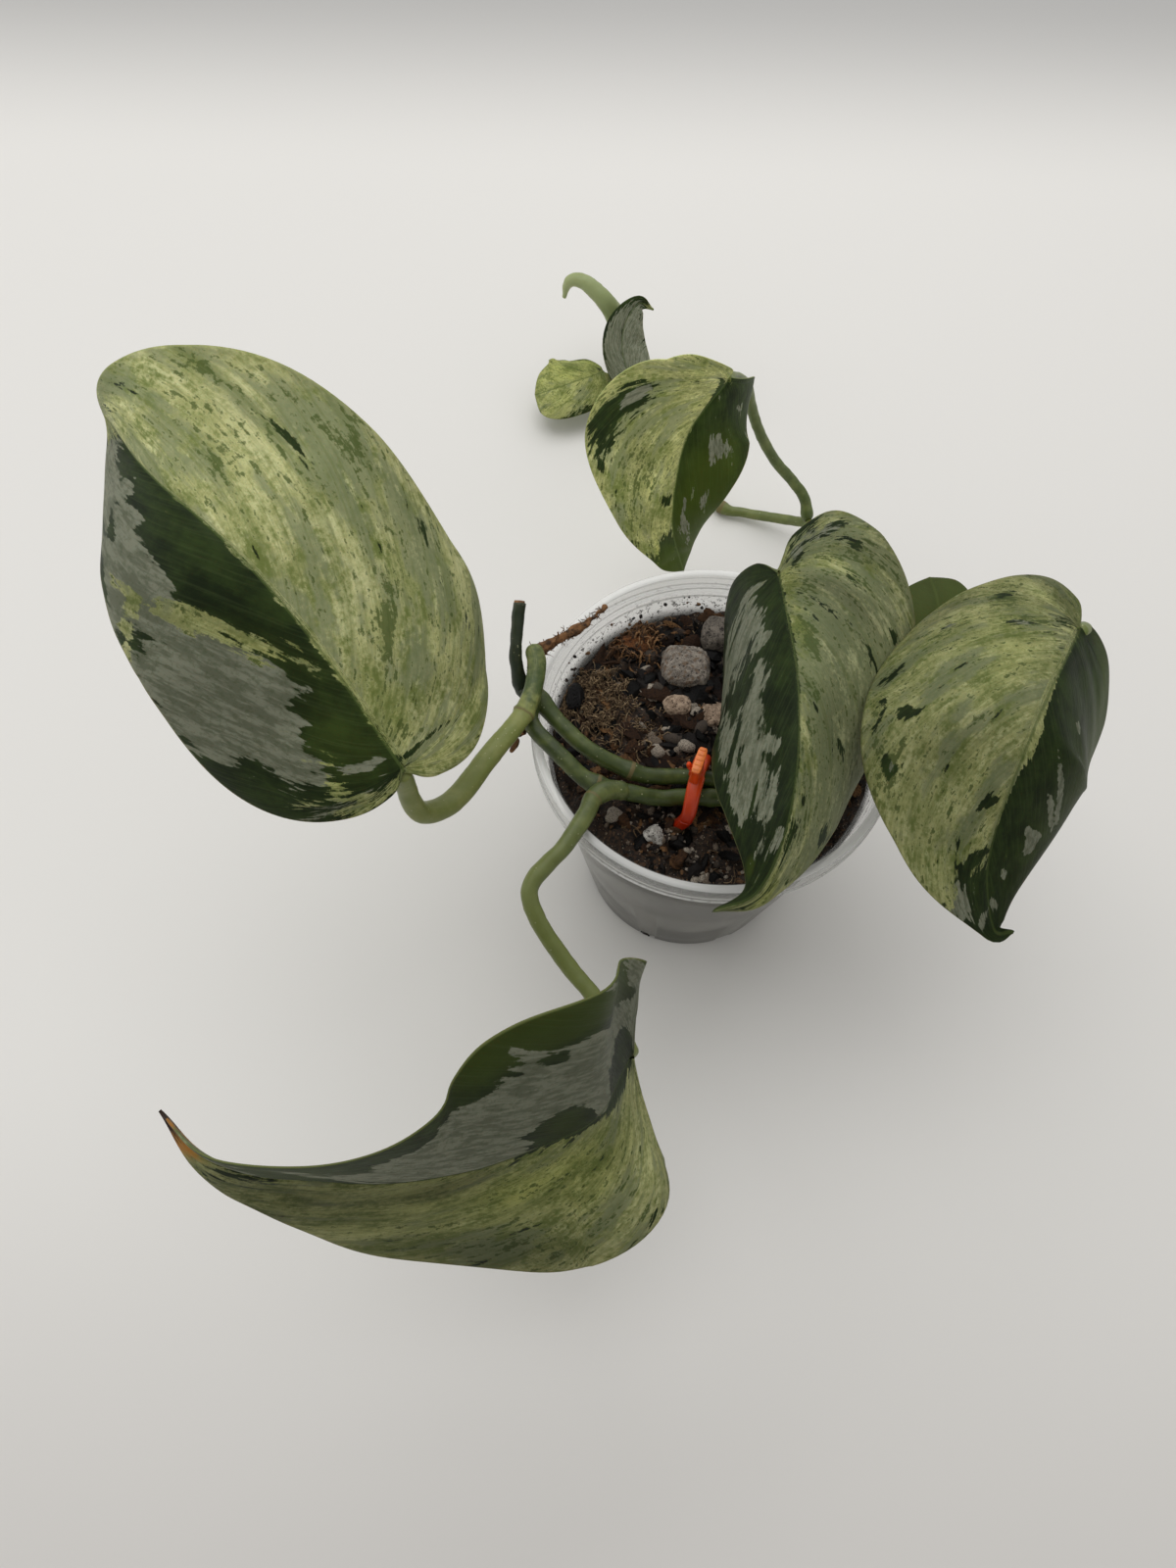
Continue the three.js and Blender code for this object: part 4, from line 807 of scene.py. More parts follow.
def tube(route, sides=22, step=0.55, swell=(), rough=0.05, seed=1, scars=(), end=0.35, groove=0.0,
         start=0.0):
    """A stem along route. swell: (share, extra radius, width in mm). scars: (share, width in mm)."""
    radii, points = route
    dense = catmull(points, np.linspace(0, 1, 60 * len(points)))
    lengths = np.r_[0, np.cumsum(np.linalg.norm(np.diff(dense, axis=0), axis=1))]
    total = lengths[-1]
    count = max(8, int(total / step))
    s = np.linspace(0, total, count + 1)
    centre = np.stack([np.interp(s, lengths, dense[:, k]) for k in range(3)], -1)
    tangent = unit(np.gradient(centre, axis=0))
    radius = np.interp(s / total, np.linspace(0, 1, len(radii)), radii)
    radius = np.convolve(np.pad(radius, 6, mode="edge"), np.ones(13) / 13, mode="valid")
    for share, extra, width in swell:
        radius = radius + extra * bell(s, share * total, width)
    radius = radius * np.sqrt(np.clip((total - s) / (end * radius[-1] + 1e-9) + 0.02, 0, 1))
    if start:
        reach = np.clip(s / (start * radius[0]), 0, 1)
        radius = radius * np.sqrt(np.clip(reach * (2 - reach) + 0.02, 0, 1))
    normal = np.array([0.0, 0, 1]) if abs(tangent[0][2]) < 0.9 else np.array([1.0, 0, 0])
    turn = np.linspace(0, TURN, sides, endpoint=False)
    verts, grain = [], []
    for i in range(count + 1):
        normal = unit(normal - tangent[i] * (normal @ tangent[i]))
        other = np.cross(tangent[i], normal)
        ring = radius[i] * (1 - groove * bell(np.cos(turn), 1, 0.25))
        verts.append(centre[i] + np.cos(turn)[:, None] * ring[:, None] * normal
                     + np.sin(turn)[:, None] * ring[:, None] * other)
        grain.append(np.stack([turn, np.full(sides, s[i]), np.full(sides, float(seed))], -1))
    verts, grain = np.vstack(verts), np.vstack(grain)
    middle = np.repeat(centre, sides, axis=0)
    away = unit(verts - middle)
    uneven = rough * wobble(verts, 0.35, seed) + 0.5 * rough * wobble(verts, 1.1, seed + 5)
    verts = verts + away * uneven[:, None]
    along = np.repeat(s / total, sides)
    scar = np.zeros(len(verts))
    for share, width in scars:
        scar += bell(np.repeat(s, sides), share * total, width)
    return verts, ring_faces(count + 1, sides), {"along": along, "grain": grain, "scar": scar}


def stems():
    vine = stem_material("vine_skin", rgb(53, 65, 28), rgb(61, 74, 32), rgb(90, 101, 48))
    back = stem_material("back_vine_skin", rgb(70, 82, 42), rgb(104, 114, 60), rgb(118, 126, 72))
    merged_piece("vine_front_stem", [
        tube(([STEM], FRONT_UPPER), swell=[(0.97, 0.6, 3), (0.62, 0.35, 1.6)],
             scars=[(0.1, 2), (0.62, 0.5)], seed=3),
        tube(([STEM], FRONT_LOWER), swell=[(0.04, 0.7, 3), (0.34, 0.55, 2.2), (0.66, 0.25, 1.5)],
             scars=[(0.72, 1.2), (0.34, 0.5), (0.01, 2)], seed=4)], vine, "vine_front")
    merged_piece("vine_back_stem", [
        tube(([STEM, STEM, STEM, STEM, 1.75, 1.7, 1.8], BACK_VINE),
             swell=[(0.645, 0.45, 2.4), (0.80, 0.75, 2.4), (0.97, 0.4, 3)],
             scars=[(0.645, 0.9), (0.80, 0.9)], seed=5)], back, "vine_back")
    skins = {
        "a": stem_material("stalk_a_skin", rgb(66, 82, 38), rgb(122, 130, 68), rgb(142, 146, 86),
                           turns=(0.2, 0.27)),
        "b": stem_material("stalk_b_skin", rgb(66, 78, 38), rgb(112, 120, 66), rgb(108, 116, 66),
                           turns=(0, 0.5)),
        "x": stem_material("stalk_skin", rgb(78, 92, 44), rgb(104, 116, 60), rgb(118, 128, 72)),
    }
    swell = {"a": [(0.235, 0.4, 0.8), (0.93, 0.25, 3)],
             "b": [(0.09, 0.35, 3), (0.4, 0.15, 3), (0.93, 0.3, 3)]}
    rings = {"a": [(0.24, 0.35)], "b": [(0.13, 0.35)]}
    for key, (radii, points) in PETIOLES.items():
        # Stalk B leaves its stem in a smooth fork
        route = (radii, FORK + points[3:] if key == "b" else points)
        part = tube(route, swell=swell.get(key, [(0.03, 0.3, 2), (0.94, 0.2, 2.5)]), seed=20 + ord(key),
                    scars=rings.get(key, ()), groove=0.12, start=1.1)
        skin = skins.get(key, skins["x"])
        merged_piece("petiole_%s_stalk" % key, [part], skin, "petiole_" + key)


# ---- Pot

def pot_piece():
    """A turned wall and lip, with the drain slots cut from its base corner."""
    rim, base, height, wall, floor = (POT[k] for k in ("rim", "base", "height", "wall", "floor"))
    neck, low = rim - POT["flare"], height - POT["lip"]
    profile = [
        (0, 0.35), (base - 6, 0.35), (base - 4.2, 0), (base - 1.2, 0), (base - 0.35, 0.3),
        (base, 1), (base + (neck - base) * 0.5, low * 0.5), (neck, low - 0.6), (neck + 0.3, low),
        (rim - 1.0, low), (rim - 0.3, low + 0.25), (rim - 0.05, low + 1),
        (rim - 0.1, low + 2.6), (rim - 0.45, low + 2.9), (rim - 0.1, low + 3.2),
        (rim, height - 1.3), (rim - 0.25, height - 0.5), (rim - 0.8, height - 0.05),
        (rim - 1.5, height), (rim - 2.2, height - 0.15), (rim - 2.75, height - 0.7),
        (rim - 3, height - 1.5), (neck - wall + 0.2, low + 0.4), (neck - wall, low - 0.4),
        (base - wall + (neck - base) * 0.5, low * 0.5),
        (base - wall, floor + 1), (base - wall - 0.5, floor + 0.2),
        (base - 2.2, floor), (0, floor),
    ]
    sides = 160
    verts, faces, rows = [], [], []
    turn = np.linspace(0, TURN, sides, endpoint=False)
    for r, z in profile:
        if r == 0:
            rows.append([len(verts)] * sides)
            verts.append((0, 0, z))
            continue
        start = len(verts)
        rows.append([start + k for k in range(sides)])
        verts += [(r * math.cos(a), r * math.sin(a), z) for a in turn]
    for low_row, high_row in zip(rows, rows[1:]):
        for k in range(sides):
            ring = [low_row[k], low_row[(k + 1) % sides], high_row[(k + 1) % sides], high_row[k]]
            faces.append([q for n, q in enumerate(ring) if q != ring[n - 1]])
    pot = make_piece("pot_shell", verts, faces, plastic(), "pot")
    cutter_mesh = bpy.data.meshes.new("slot_cutter")
    boxes, box_faces = [], []
    for n in range(SLOTS):
        a = 2 * math.pi * (n + 0.5) / SLOTS
        turn_box = Matrix.Rotation(a, 4, "Z")
        start = len(boxes)
        for x in (POT["base"] - 3, POT["base"] + 3):
            for y in (-SLOT_WIDTH / 2, SLOT_WIDTH / 2):
                for z in (-SLOT_HEIGHT, SLOT_HEIGHT):
                    boxes.append(turn_box @ Vector((x, y, z)) * MM)
        for f in ((0, 1, 3, 2), (4, 6, 7, 5), (0, 4, 5, 1), (2, 3, 7, 6), (0, 2, 6, 4), (1, 5, 7, 3)):
            box_faces.append([start + i for i in f])
    cutter_mesh.from_pydata(boxes, [], box_faces)
    cutter = bpy.data.objects.new("slot_cutter", cutter_mesh)
    bpy.context.scene.collection.objects.link(cutter)
    cut = pot.modifiers.new("slots", "BOOLEAN")
    cut.operation, cut.solver, cut.object = "DIFFERENCE", "EXACT", cutter
    settle(pot)
    bpy.data.objects.remove(cutter)
    pot.data.polygons.foreach_set("use_smooth", np.full(len(pot.data.polygons), True))
    sharpen(pot)


def settle(piece):
    """Applies a piece's modifiers to its mesh."""
    graph = bpy.context.evaluated_depsgraph_get()
    made = bpy.data.meshes.new_from_object(piece.evaluated_get(graph))
    old = piece.data
    piece.modifiers.clear()
    piece.data = made
    bpy.data.meshes.remove(old)


def sharpen(piece):
    piece.data.set_sharp_from_angle(angle=math.radians(SHARP_ANGLE))


def plastic():
    """Thin clear plastic: milky grey where mix lies behind it, clear above, with painted highlights along the
    mouldings.
    """
    s = Shader("clear_plastic")
    where = s.place()
    height = s.split(where)[2]
    smear = s.noise(s.stretch(where, (0.05, 0.05, 0.05)), detail=3.0, rough=0.6)
    fine = s.noise(where, 0.5, 3.0, 0.6)
    ledge = POT["height"] - POT["lip"]
    body = s.step(height, ledge - 3.5, ledge - 8.5)
    # Painted highlights: bright lines at the lip's top edge, its middle and the ledge, where the curved
    # mouldings catch the light, and more opaque there.
    lines = None
    for z, reach in ((POT["height"] - 0.05, 0.45), (POT["height"] - 4.1, 0.3), (ledge + 0.3, 0.4)):
        gap = s.math("ABSOLUTE", s.math("SUBTRACT", height, z))
        line = s.step(gap, reach, reach * 0.4)
        lines = line if lines is None else s.math("MAXIMUM", lines, line)
    clear = s.total((0.06, smear), 0.1)
    milky = s.total((0.25, smear), (0.15, fine), 0.64)
    above = s.math("MULTIPLY", s.total(clear, (0.5, lines)), s.math("SUBTRACT", 1.0, body))
    alpha = s.math("ADD", above, s.math("MULTIPLY", body, milky))
    murk = s.step(s.total((0.7, smear), (0.3, fine)), 0.38, 0.62)
    haze = s.mix(murk, rgb(72, 69, 60), rgb(101, 98, 87))
    colour = s.mix(body, s.mix(lines, rgb(176, 176, 171), rgb(238, 238, 235)), haze)
    # Mix stuck to the wall just above the bed
    band = s.math("MULTIPLY", s.step(height, *DIRT_TOP), s.step(height, *DIRT_FOOT))
    dirt = s.math("MULTIPLY", s.step(s.noise(where, 0.8, 4.0, 0.7), 0.57, 0.62), band)
    colour = s.mix(dirt, colour, rgb(58, 42, 30))
    alpha = s.math("MAXIMUM", alpha, s.math("MULTIPLY", dirt, 0.85))
    # Crumbs caught at the drain slots
    foot = s.math("MULTIPLY", s.step(height, 3.5, 1.5), s.step(fine, 0.56, 0.62))
    colour = s.mix(foot, colour, rgb(50, 36, 26))
    normal = s.bump(smear, 0.1, 0.3)
    return s.finish(Base_Color=colour, Alpha=alpha, Roughness=0.12, Normal=normal, IOR=1.47)


# ---- Potting mix

def inner_radius(z):
    """The inside of the pot's wall at height z."""
    low, high = POT["base"] - POT["wall"], POT["rim"] - POT["flare"] - POT["wall"]
    top = POT["height"] - POT["lip"]
    return low + (high - low) * (z - POT["floor"] - 0.8) / (top - POT["floor"] - 0.8)


def soil_top(x, y):
    """Height of the mix, as in the solids."""
    angle = math.radians(SOIL["dip_angle"])
    towards = (x * math.cos(angle) + y * math.sin(angle)) / POT["rim"]
    ripple = np.sin(0.55 * x + 1.3) * np.cos(0.5 * y + 0.4) + np.sin(0.9 * y - 0.6 * x)
    return SOIL["level"] - SOIL["dip"] * np.maximum(towards, 0) ** 2 + SOIL["lump"] * 0.5 * ripple


def soil_piece():
    """The bed of fine mix, with an uneven top and sides."""
    sides, rings, layers = 240, 72, 46
    edge_z = SOIL["level"] - SOIL["dip"] - 1
    rim = inner_radius(SOIL["level"]) - 0.5
    turn = np.linspace(0, TURN, sides, endpoint=False)
    verts = [np.array([[0.0, 0, soil_top(0, 0)]])]
    for i in range(1, rings + 1):
        r = rim * i / rings
        x, y = r * np.cos(turn), r * np.sin(turn)
        flat = np.stack([x, y], -1)
        z = soil_top(x, y) + 0.7 * wobble(flat, 0.16, 11) + 0.45 * wobble(flat, 0.42, 12)
        z = z + 0.25 * wobble(flat, 1.0, 13)
        z = z - 1.2 * smoothstep(r / rim, 0.96, 1.0)
        verts.append(np.stack([x, y, z], -1))
    top_edge = verts[-1][:, 2]
    bottom = POT["floor"] + 1.1
    for i in range(1, layers + 1):
        z = top_edge + (bottom - top_edge) * i / layers
        r = inner_radius(z) - 0.45
        place = np.stack([r * np.cos(turn), r * np.sin(turn), z], -1)
        r = r - 0.35 * np.abs(wobble(place, 0.3, 14))
        verts.append(np.stack([r * np.cos(turn), r * np.sin(turn), z], -1))
    verts.append(np.array([[0.0, 0, bottom]]))
    verts = np.vstack(verts)
    faces = [(0, 1 + k, 1 + (k + 1) % sides) for k in range(sides)]
    for i in range(rings + layers - 1):
        for k in range(sides):
            a, b = 1 + i * sides + k, 1 + i * sides + (k + 1) % sides
            faces.append((a, a + sides, b + sides, b))
    last = 1 + (rings + layers - 1) * sides
    faces += [(len(verts) - 1, last + (k + 1) % sides, last + k) for k in range(sides)]
    s = Shader("fine_mix")
    where = s.place()
    cloud = s.noise(where, 0.18, 4.0, 0.65)
    crumb = s.noise(where, 1.1, 4.0, 0.7)
    colour = s.mix(s.step(crumb, 0.38, 0.6), rgb(13, 10, 8), rgb(52, 37, 25))
    colour = s.mix(s.step(s.total((0.5, cloud), (0.5, crumb)), 0.53, 0.63), colour, rgb(88, 63, 40))
    colour = s.mix(s.step(s.noise(where, 1.9, 2.0), 0.66, 0.72), colour, rgb(150, 138, 120))
    normal = s.bump(s.total((0.6, crumb), (0.4, cloud)), 0.6, 1.0)
    skin = s.finish(Base_Color=colour, Roughness=0.95, Normal=normal)
    make_piece("mix_bed", verts, faces, skin, "soil")


def ball(detail):
    """Points and triangles of an icosphere of radius 1."""
    mesh = bpy.data.meshes.new("ball")
    bm = bmesh.new()
    bmesh.ops.create_icosphere(bm, subdivisions=detail, radius=1)
    bm.to_mesh(mesh)
    bm.free()
    verts = np.array([v.co[:] for v in mesh.vertices])
    faces = [tuple(p.vertices) for p in mesh.polygons]
    bpy.data.meshes.remove(mesh)
    return verts, faces


def stem_points():
    """Places along the stems that crumbs keep clear of."""
    routes = [FRONT_UPPER, FRONT_LOWER, BACK_VINE[:4]] + [PETIOLES[k][1][:3] for k in "cde"]
    return np.vstack([catmull(r, np.linspace(0, 1, 60)) for r in routes])


def scatter(rng, count, sizes, squash=0.6, long=1.4, lift=0.2, where=None, jag=0.3, detail=2,
            power=1.0, keep=None):
    """Crumbs strewn on the mix: uneven lumps of the given sizes, clear of the stems and the wall."""
    base, faces = ball(detail)
    parts = []
    rim = inner_radius(SOIL["level"]) - 1.2
    tries = 0
    while len(parts) < count and tries < count * 8:
        tries += 1
        size = sizes[0] + (sizes[1] - sizes[0]) * rng.random() ** 2
        if where is None:
            turn = rng.uniform(0, TURN)
            reach = (rim - size) * math.sqrt(rng.uniform(0, 1))
            x, y = reach * math.cos(turn), reach * math.sin(turn)
        else:
            x, y = where[0] + rng.normal() * where[2], where[1] + rng.normal() * where[2]
            if math.hypot(x, y) > rim - size:
                continue
        z = float(soil_top(x, y)) + lift * size
        centre = np.array([x, y, z])
        if keep is not None and np.min(np.linalg.norm(keep - centre, axis=1)) < STEM + 0.9 * size:
            continue
        shape = np.sign(base) * np.abs(base) ** power
        shape = shape * (1 + jag * wobble(base, 0.9, int(rng.integers(1e6)))[:, None] * 0.5)
        shape = shape * size * np.array([long, 1, squash]) * (1 + 0.25 * rng.normal(size=3)).clip(0.6, 1.5)
        spin = Matrix.Rotation(rng.uniform(0, 6.28), 3, "Z") @ Matrix.Rotation(rng.normal() * 0.45, 3, "X") \
            @ Matrix.Rotation(rng.normal() * 0.35, 3, "Y")
        placed = shape @ np.array(spin).T + centre
        parts.append((placed, faces, {"tone": np.full(len(placed), rng.random())}))
    return merge(parts)


def fibres(rng, count, centre, radius, length, thickness=(0.08, 0.2), height=1.2, sides=4):
    """Thin curled strands that lie tangled on the mix."""
    parts = []
    for _ in range(count):
        turn, reach = rng.uniform(0, TURN), radius * math.sqrt(rng.random())
        x, y = centre[0] + reach * math.cos(turn), centre[1] + reach * math.sin(turn)
        size = rng.uniform(*length)
        heading = rng.uniform(0, TURN)
        rise = rng.uniform(0.1, height)
        points = []
        for t in np.linspace(-0.5, 0.5, 6):
            heading += rng.normal() * 0.5
            x += math.cos(heading) * size / 5
            y += math.sin(heading) * size / 5
            away = math.hypot(x, y)
            limit = inner_radius(SOIL["level"]) - 1.5
            if away > limit:
                x, y = x * limit / away, y * limit / away
            points.append((x, y, float(soil_top(x, y)) + rise * (1 - 3 * t * t) + 0.25 * rng.normal()))
        thick = rng.uniform(*thickness)
        curve = catmull(points, np.linspace(0, 1, 10))
        tangent = unit(np.gradient(curve, axis=0))
        side = unit(np.cross(tangent, [0.1, 0.2, 1]))
        other = np.cross(tangent, side)
        rings = [curve + thick * (math.cos(a) * side + math.sin(a) * other)
                 for a in np.linspace(0, TURN, sides, endpoint=False)]
        verts = np.stack(rings, 1).reshape(-1, 3)
        parts.append((verts, ring_faces(10, sides), {"tone": np.full(len(verts), rng.random())}))
    return merge(parts)


def stone_piece(name, power, jag, material, seed):
    centre, size = STONES[name]
    base, faces = ball(5)
    shape = np.sign(base) * np.abs(base) ** power
    shape = shape / np.abs(shape).max(0)
    bumps = 1 + jag * (0.7 * wobble(base, 0.7, seed) + 0.35 * wobble(base, 1.8, seed + 1)
                       + 0.14 * wobble(base, 5, seed + 2) + 0.08 * wobble(base, 11, seed + 3))
    bumps = bumps / np.quantile(bumps, 0.98)
    verts = shape * bumps[:, None] * np.array(size) + np.array(centre)
    make_piece(name + "_lump", verts, faces, material, name)


def potting_mix():
    soil_piece()
    rng = np.random.default_rng(5)
    keep = stem_points()
    grey = mineral("pumice_grey", rgb(62, 56, 51), rgb(158, 149, 137), grain=1.9, veil=rgb(104, 84, 66))
    dusky = mineral("pumice_dusky", rgb(36, 32, 29), rgb(122, 114, 104), grain=1.9)
    tan = mineral("pumice_tan", rgb(92, 72, 56), rgb(182, 160, 138), grain=1.9)
    white = mineral("perlite_white", rgb(104, 99, 92), rgb(206, 202, 194), pit=1.2, grain=1.7, depth=0.6)
    bark = mineral("bark_brown", rgb(60, 36, 21), rgb(134, 84, 45), pit=0.5, grain=2.2, depth=0.8, gloss=0.9)
    red = mineral("bark_red", rgb(104, 48, 24), rgb(160, 84, 44), gloss=0.8)
    black = mineral("charcoal_black", rgb(8, 8, 8), rgb(22, 20, 20), gloss=0.35, sheen=0.12)
    stones = {"pumice_1": (0.62, 0.12, grey), "pumice_2": (0.72, 0.12, dusky), "pumice_3": (0.8, 0.14, tan),
              "pumice_4": (0.75, 0.14, tan), "perlite_1": (0.95, 0.24, white), "bark_1": (0.8, 0.2, bark),
              "bark_2": (0.8, 0.2, red), "charcoal_1": (0.75, 0.16, black)}
    for seed, (name, (power, jag, material)) in enumerate(stones.items(), 31):
        stone_piece(name, power, jag, material, seed)
    chips = varied("bark_chips", [rgb(32, 21, 14), rgb(74, 50, 31), rgb(124, 91, 59), rgb(52, 34, 22)], 0.9,
                   depth=0.6, sheen=-0.3)
    chunks = [scatter(rng, 330, (0.5, 2.0), squash=0.4, long=1.8, keep=keep, jag=0.9),
              scatter(rng, 70, (1.0, 2.7), squash=0.4, long=1.7, keep=keep, jag=0.9, where=(-2, 16, 14))]
    merged_piece("bark_chips", chunks, chips, smooth=False)
    shards = varied("black_shards", [rgb(6, 6, 6), rgb(11, 10, 9), rgb(24, 20, 18)], 0.42, sheen=-0.38)
    lumps = [scatter(rng, 170, (0.8, 3.0), squash=0.55, long=1.4, keep=keep, jag=0.5, detail=1),
             scatter(rng, 260, (0.8, 3.0), squash=0.6, long=1.3, keep=keep, jag=0.6, detail=1,
                     where=(0, 12, 13))]
    merged_piece("black_shards", lumps, shards, smooth=False)
    gravel = varied("pale_gravel", [rgb(70, 60, 51), rgb(118, 104, 89), rgb(164, 153, 138)], 0.92, grain=2.0,
                    fleck=rgb(40, 34, 29))
    grit = [scatter(rng, 60, (0.5, 1.9), squash=0.8, long=1.2, keep=keep, jag=0.45, power=0.8,
                    where=(-5, 4, 10)),
            scatter(rng, 80, (0.5, 1.8), squash=0.8, long=1.15, keep=keep, jag=0.4, power=0.85),
            scatter(rng, 220, (0.3, 1.0), squash=0.8, long=1.15, keep=keep, jag=0.5, detail=1,
                    where=(-2, -31, 10))]
    merged_piece("pale_gravel", grit, gravel)
    crumbs = varied("fine_crumbs", [rgb(20, 14, 11), rgb(44, 30, 20), rgb(80, 56, 35), rgb(112, 82, 53)],
                    0.95)
    fine = [scatter(rng, 1700, (0.2, 0.85), squash=0.8, long=1.3, jag=0.6, detail=1, lift=0.1)]
    merged_piece("fine_crumbs", fine, crumbs, smooth=False)
    coir = varied("coir_strands", [rgb(80, 61, 42), rgb(124, 101, 72), rgb(162, 138, 104)], 0.9)
    tangle = [fibres(rng, 1100, (-29, 11), 9, (1.2, 4.5), height=2.6, thickness=(0.06, 0.17)),
              fibres(rng, 300, (-20, 3), 8, (1.2, 4.5), thickness=(0.06, 0.17)),
              fibres(rng, 220, (0, 0), 36, (2, 7), height=0.9, thickness=(0.06, 0.16))]
    merged_piece("coir_strands", tangle, coir)
    rust = varied("bark_threads", [rgb(62, 42, 26), rgb(100, 70, 42), rgb(144, 106, 68)], 0.9)
    threads = [fibres(rng, 190, (-19, 28), 5.5, (1.8, 5), height=4.2, thickness=(0.1, 0.3))]
    merged_piece("bark_threads", threads, rust)
    wall_dirt(rng, crumbs)


def wall_dirt(rng, material):
    """Crumbs stuck to the bare inner wall at the back, and some at the drain slot in front."""
    base, faces = ball(1)
    parts = []
    for _ in range(34):
        angle = math.radians(rng.uniform(70, 165))
        z = rng.uniform(72, 80) if rng.random() < 0.6 else rng.uniform(70, 76)
        size = rng.uniform(0.2, 0.65)
        r = inner_radius(min(z, 78)) - 0.15 - 0.5 * size
        centre = np.array([r * math.cos(angle), r * math.sin(angle), z])
        shape = base * (1 + 0.3 * rng.normal(size=(len(base), 1)) * 0.6) * size * np.array([1, 1, 0.8])
        parts.append((shape + centre, faces, {"tone": np.full(len(base), rng.random())}))
    # A clot of mix that has worked out of the drain slot in front
    slot = math.radians(FRONT_SLOT)
    for _ in range(26):
        reach, across = POT["base"] - 0.6 + 0.5 * rng.normal(), 0.9 * rng.normal()
        x = reach * math.cos(slot) - across * math.sin(slot)
        y = reach * math.sin(slot) + across * math.cos(slot)
        centre = np.array([x, y, rng.uniform(0.8, 3.2)])
        shape = base * (1 + 0.2 * rng.normal(size=(len(base), 1))) * rng.uniform(0.35, 0.7)
        parts.append((shape + centre, faces, {"tone": np.full(len(base), 0.3 * rng.random())}))
    merged_piece("wall_dirt", parts, material, smooth=False)


# ---- Clip, stub, dead root, new leaf

def loft(rows):
    """Closes a row of equal rings of points into one skin."""
    return np.vstack(rows), ring_faces(len(rows), len(rows[0])), {}


def rounded(width, length, power, sides=28):
    """A rounded oblong ring of half sizes width and length."""
    a = np.linspace(0, TURN, sides, endpoint=False)
    return np.stack([width * np.sign(np.cos(a)) * np.abs(np.cos(a)) ** power,
                     length * np.sign(np.sin(a)) * np.abs(np.sin(a)) ** power], -1)


def clip_piece():
    """An arch of bar over both stem arms, with a narrow ridged grip on its crown and a side hook."""
    c = CLIP
    middle, bow, half = (c["front"] + c["back"]) / 2, (c["back"] - c["front"]) / 2, c["wire"] / 2
    spring = c["crown"] - bow
    turn = np.linspace(0.05, math.pi - 0.05, 40)
    path = [(c["front"] + half - 0.6, c["foot"]), (c["front"] + half - 0.2, (c["foot"] + spring) / 2)]
    path += [(middle - (bow - half) * math.cos(a), spring + (bow - half) * math.sin(a)) for a in turn]
    path += [(c["back"] - half, (c["foot"] + spring) / 2), (c["back"] - half, c["foot"])]
    path = catmull(path, np.linspace(0, 1, 130))
    along = unit(np.gradient(path, axis=0))
    rows = []
    for (y, z), (ty, tz) in zip(path, along):
        # The front prong bows sideways and narrows towards its foot
        drop = max(c["crown"] - z, 0) / (c["crown"] - c["foot"]) if y < middle else 0
        ring = rounded(c["width"] / 2 * (1.16 - 0.4 * drop), half, 0.62)
        bow_out = 1.5 * math.sin(math.pi * min(1.6 * drop, 1)) - 1.4 * drop
        rows.append(np.stack([c["x"] + bow_out + ring[:, 0], y - tz * ring[:, 1], z + ty * ring[:, 1]], -1))
    arch = loft(rows)
    wide, tall, long = c["tab_width"] / 2, c["tab"], c["tab_length"] / 2
    rows = []
    for share, w, l in ((-0.36, 1.2, 0.72), (-0.1, 1.02, 0.76), (0.15, 0.9, 0.8), (0.5, 0.84, 0.86),
                        (0.8, 0.9, 0.95), (0.93, 0.94, 0.99), (0.985, 0.88, 0.96), (1.0, 0.7, 0.9)):
        ring = rounded(wide * w, long * l, 0.4)
        level = np.full(len(ring), c["crown"] + tall * share)
        rows.append(np.stack([c["x"] + ring[:, 0], middle + ring[:, 1], level], -1))
    parts = [arch, loft(rows)]
    # Ridges across the top of the grip
    for k in range(5):
        y = middle + long * (k - 2) * 0.38
        ends = [(c["x"] + wide * t, y, c["crown"] + tall - 0.12) for t in (-0.66, -0.2, 0.2, 0.66)]
        verts, faces, _ = tube(((0.34,), ends), sides=12, step=0.3, rough=0, end=0.8)
        parts.append((verts, faces, {}))
    top = c["crown"]
    hook = [(c["x"] - 0.6, middle + 0.8, top - 0.8), (c["x"] - 1.7, middle + 1, top - 0.2),
            (c["x"] - 2.3, middle + 1.1, top + 0.7), (c["x"] - 2.2, middle + 1.1, top + 1.8)]
    verts, faces, _ = tube(((0.8, 0.7, 0.5), hook), sides=14, step=0.25, rough=0, end=0.8)
    verts, faces, _ = merge(parts + [(verts, faces, {})])
    spin = math.radians(c["turn"])
    x, y = verts[:, 0] - c["x"], verts[:, 1] - middle
    verts[:, 0] = c["x"] + x * math.cos(spin) - y * math.sin(spin)
    verts[:, 1] = middle + x * math.sin(spin) + y * math.cos(spin)
    s = Shader("clip_plastic")
    where = s.place()
    level = s.split(where)[2]
    cloud = s.noise(where, 0.3, 3.0, 0.6)
    # Painted shade and highlight: the orange darkens down the prongs into shade, and the grip's top is
    # painted a pale highlight.
    colour = s.mix(s.step(level, top - 8, top + 4), rgb(168, 38, 3), rgb(226, 78, 12))
    colour = s.mix(s.step(level, top + tall - 0.9, top + tall - 0.1), colour, rgb(246, 134, 62))
    colour = s.mix(s.step(cloud, 0.4, 0.7, (0, 0.3)), colour, rgb(150, 34, 6))
    normal = s.bump(s.noise(where, 1.5, 3.0), 0.06, 0.5)
    skin = s.finish(Base_Color=colour, Roughness=0.34, Normal=normal, Subsurface_Weight=0.15,
                    Subsurface_Scale=0.003)
    sharpen(make_piece("stem_clip_arch", verts, faces, skin, "stem_clip"))


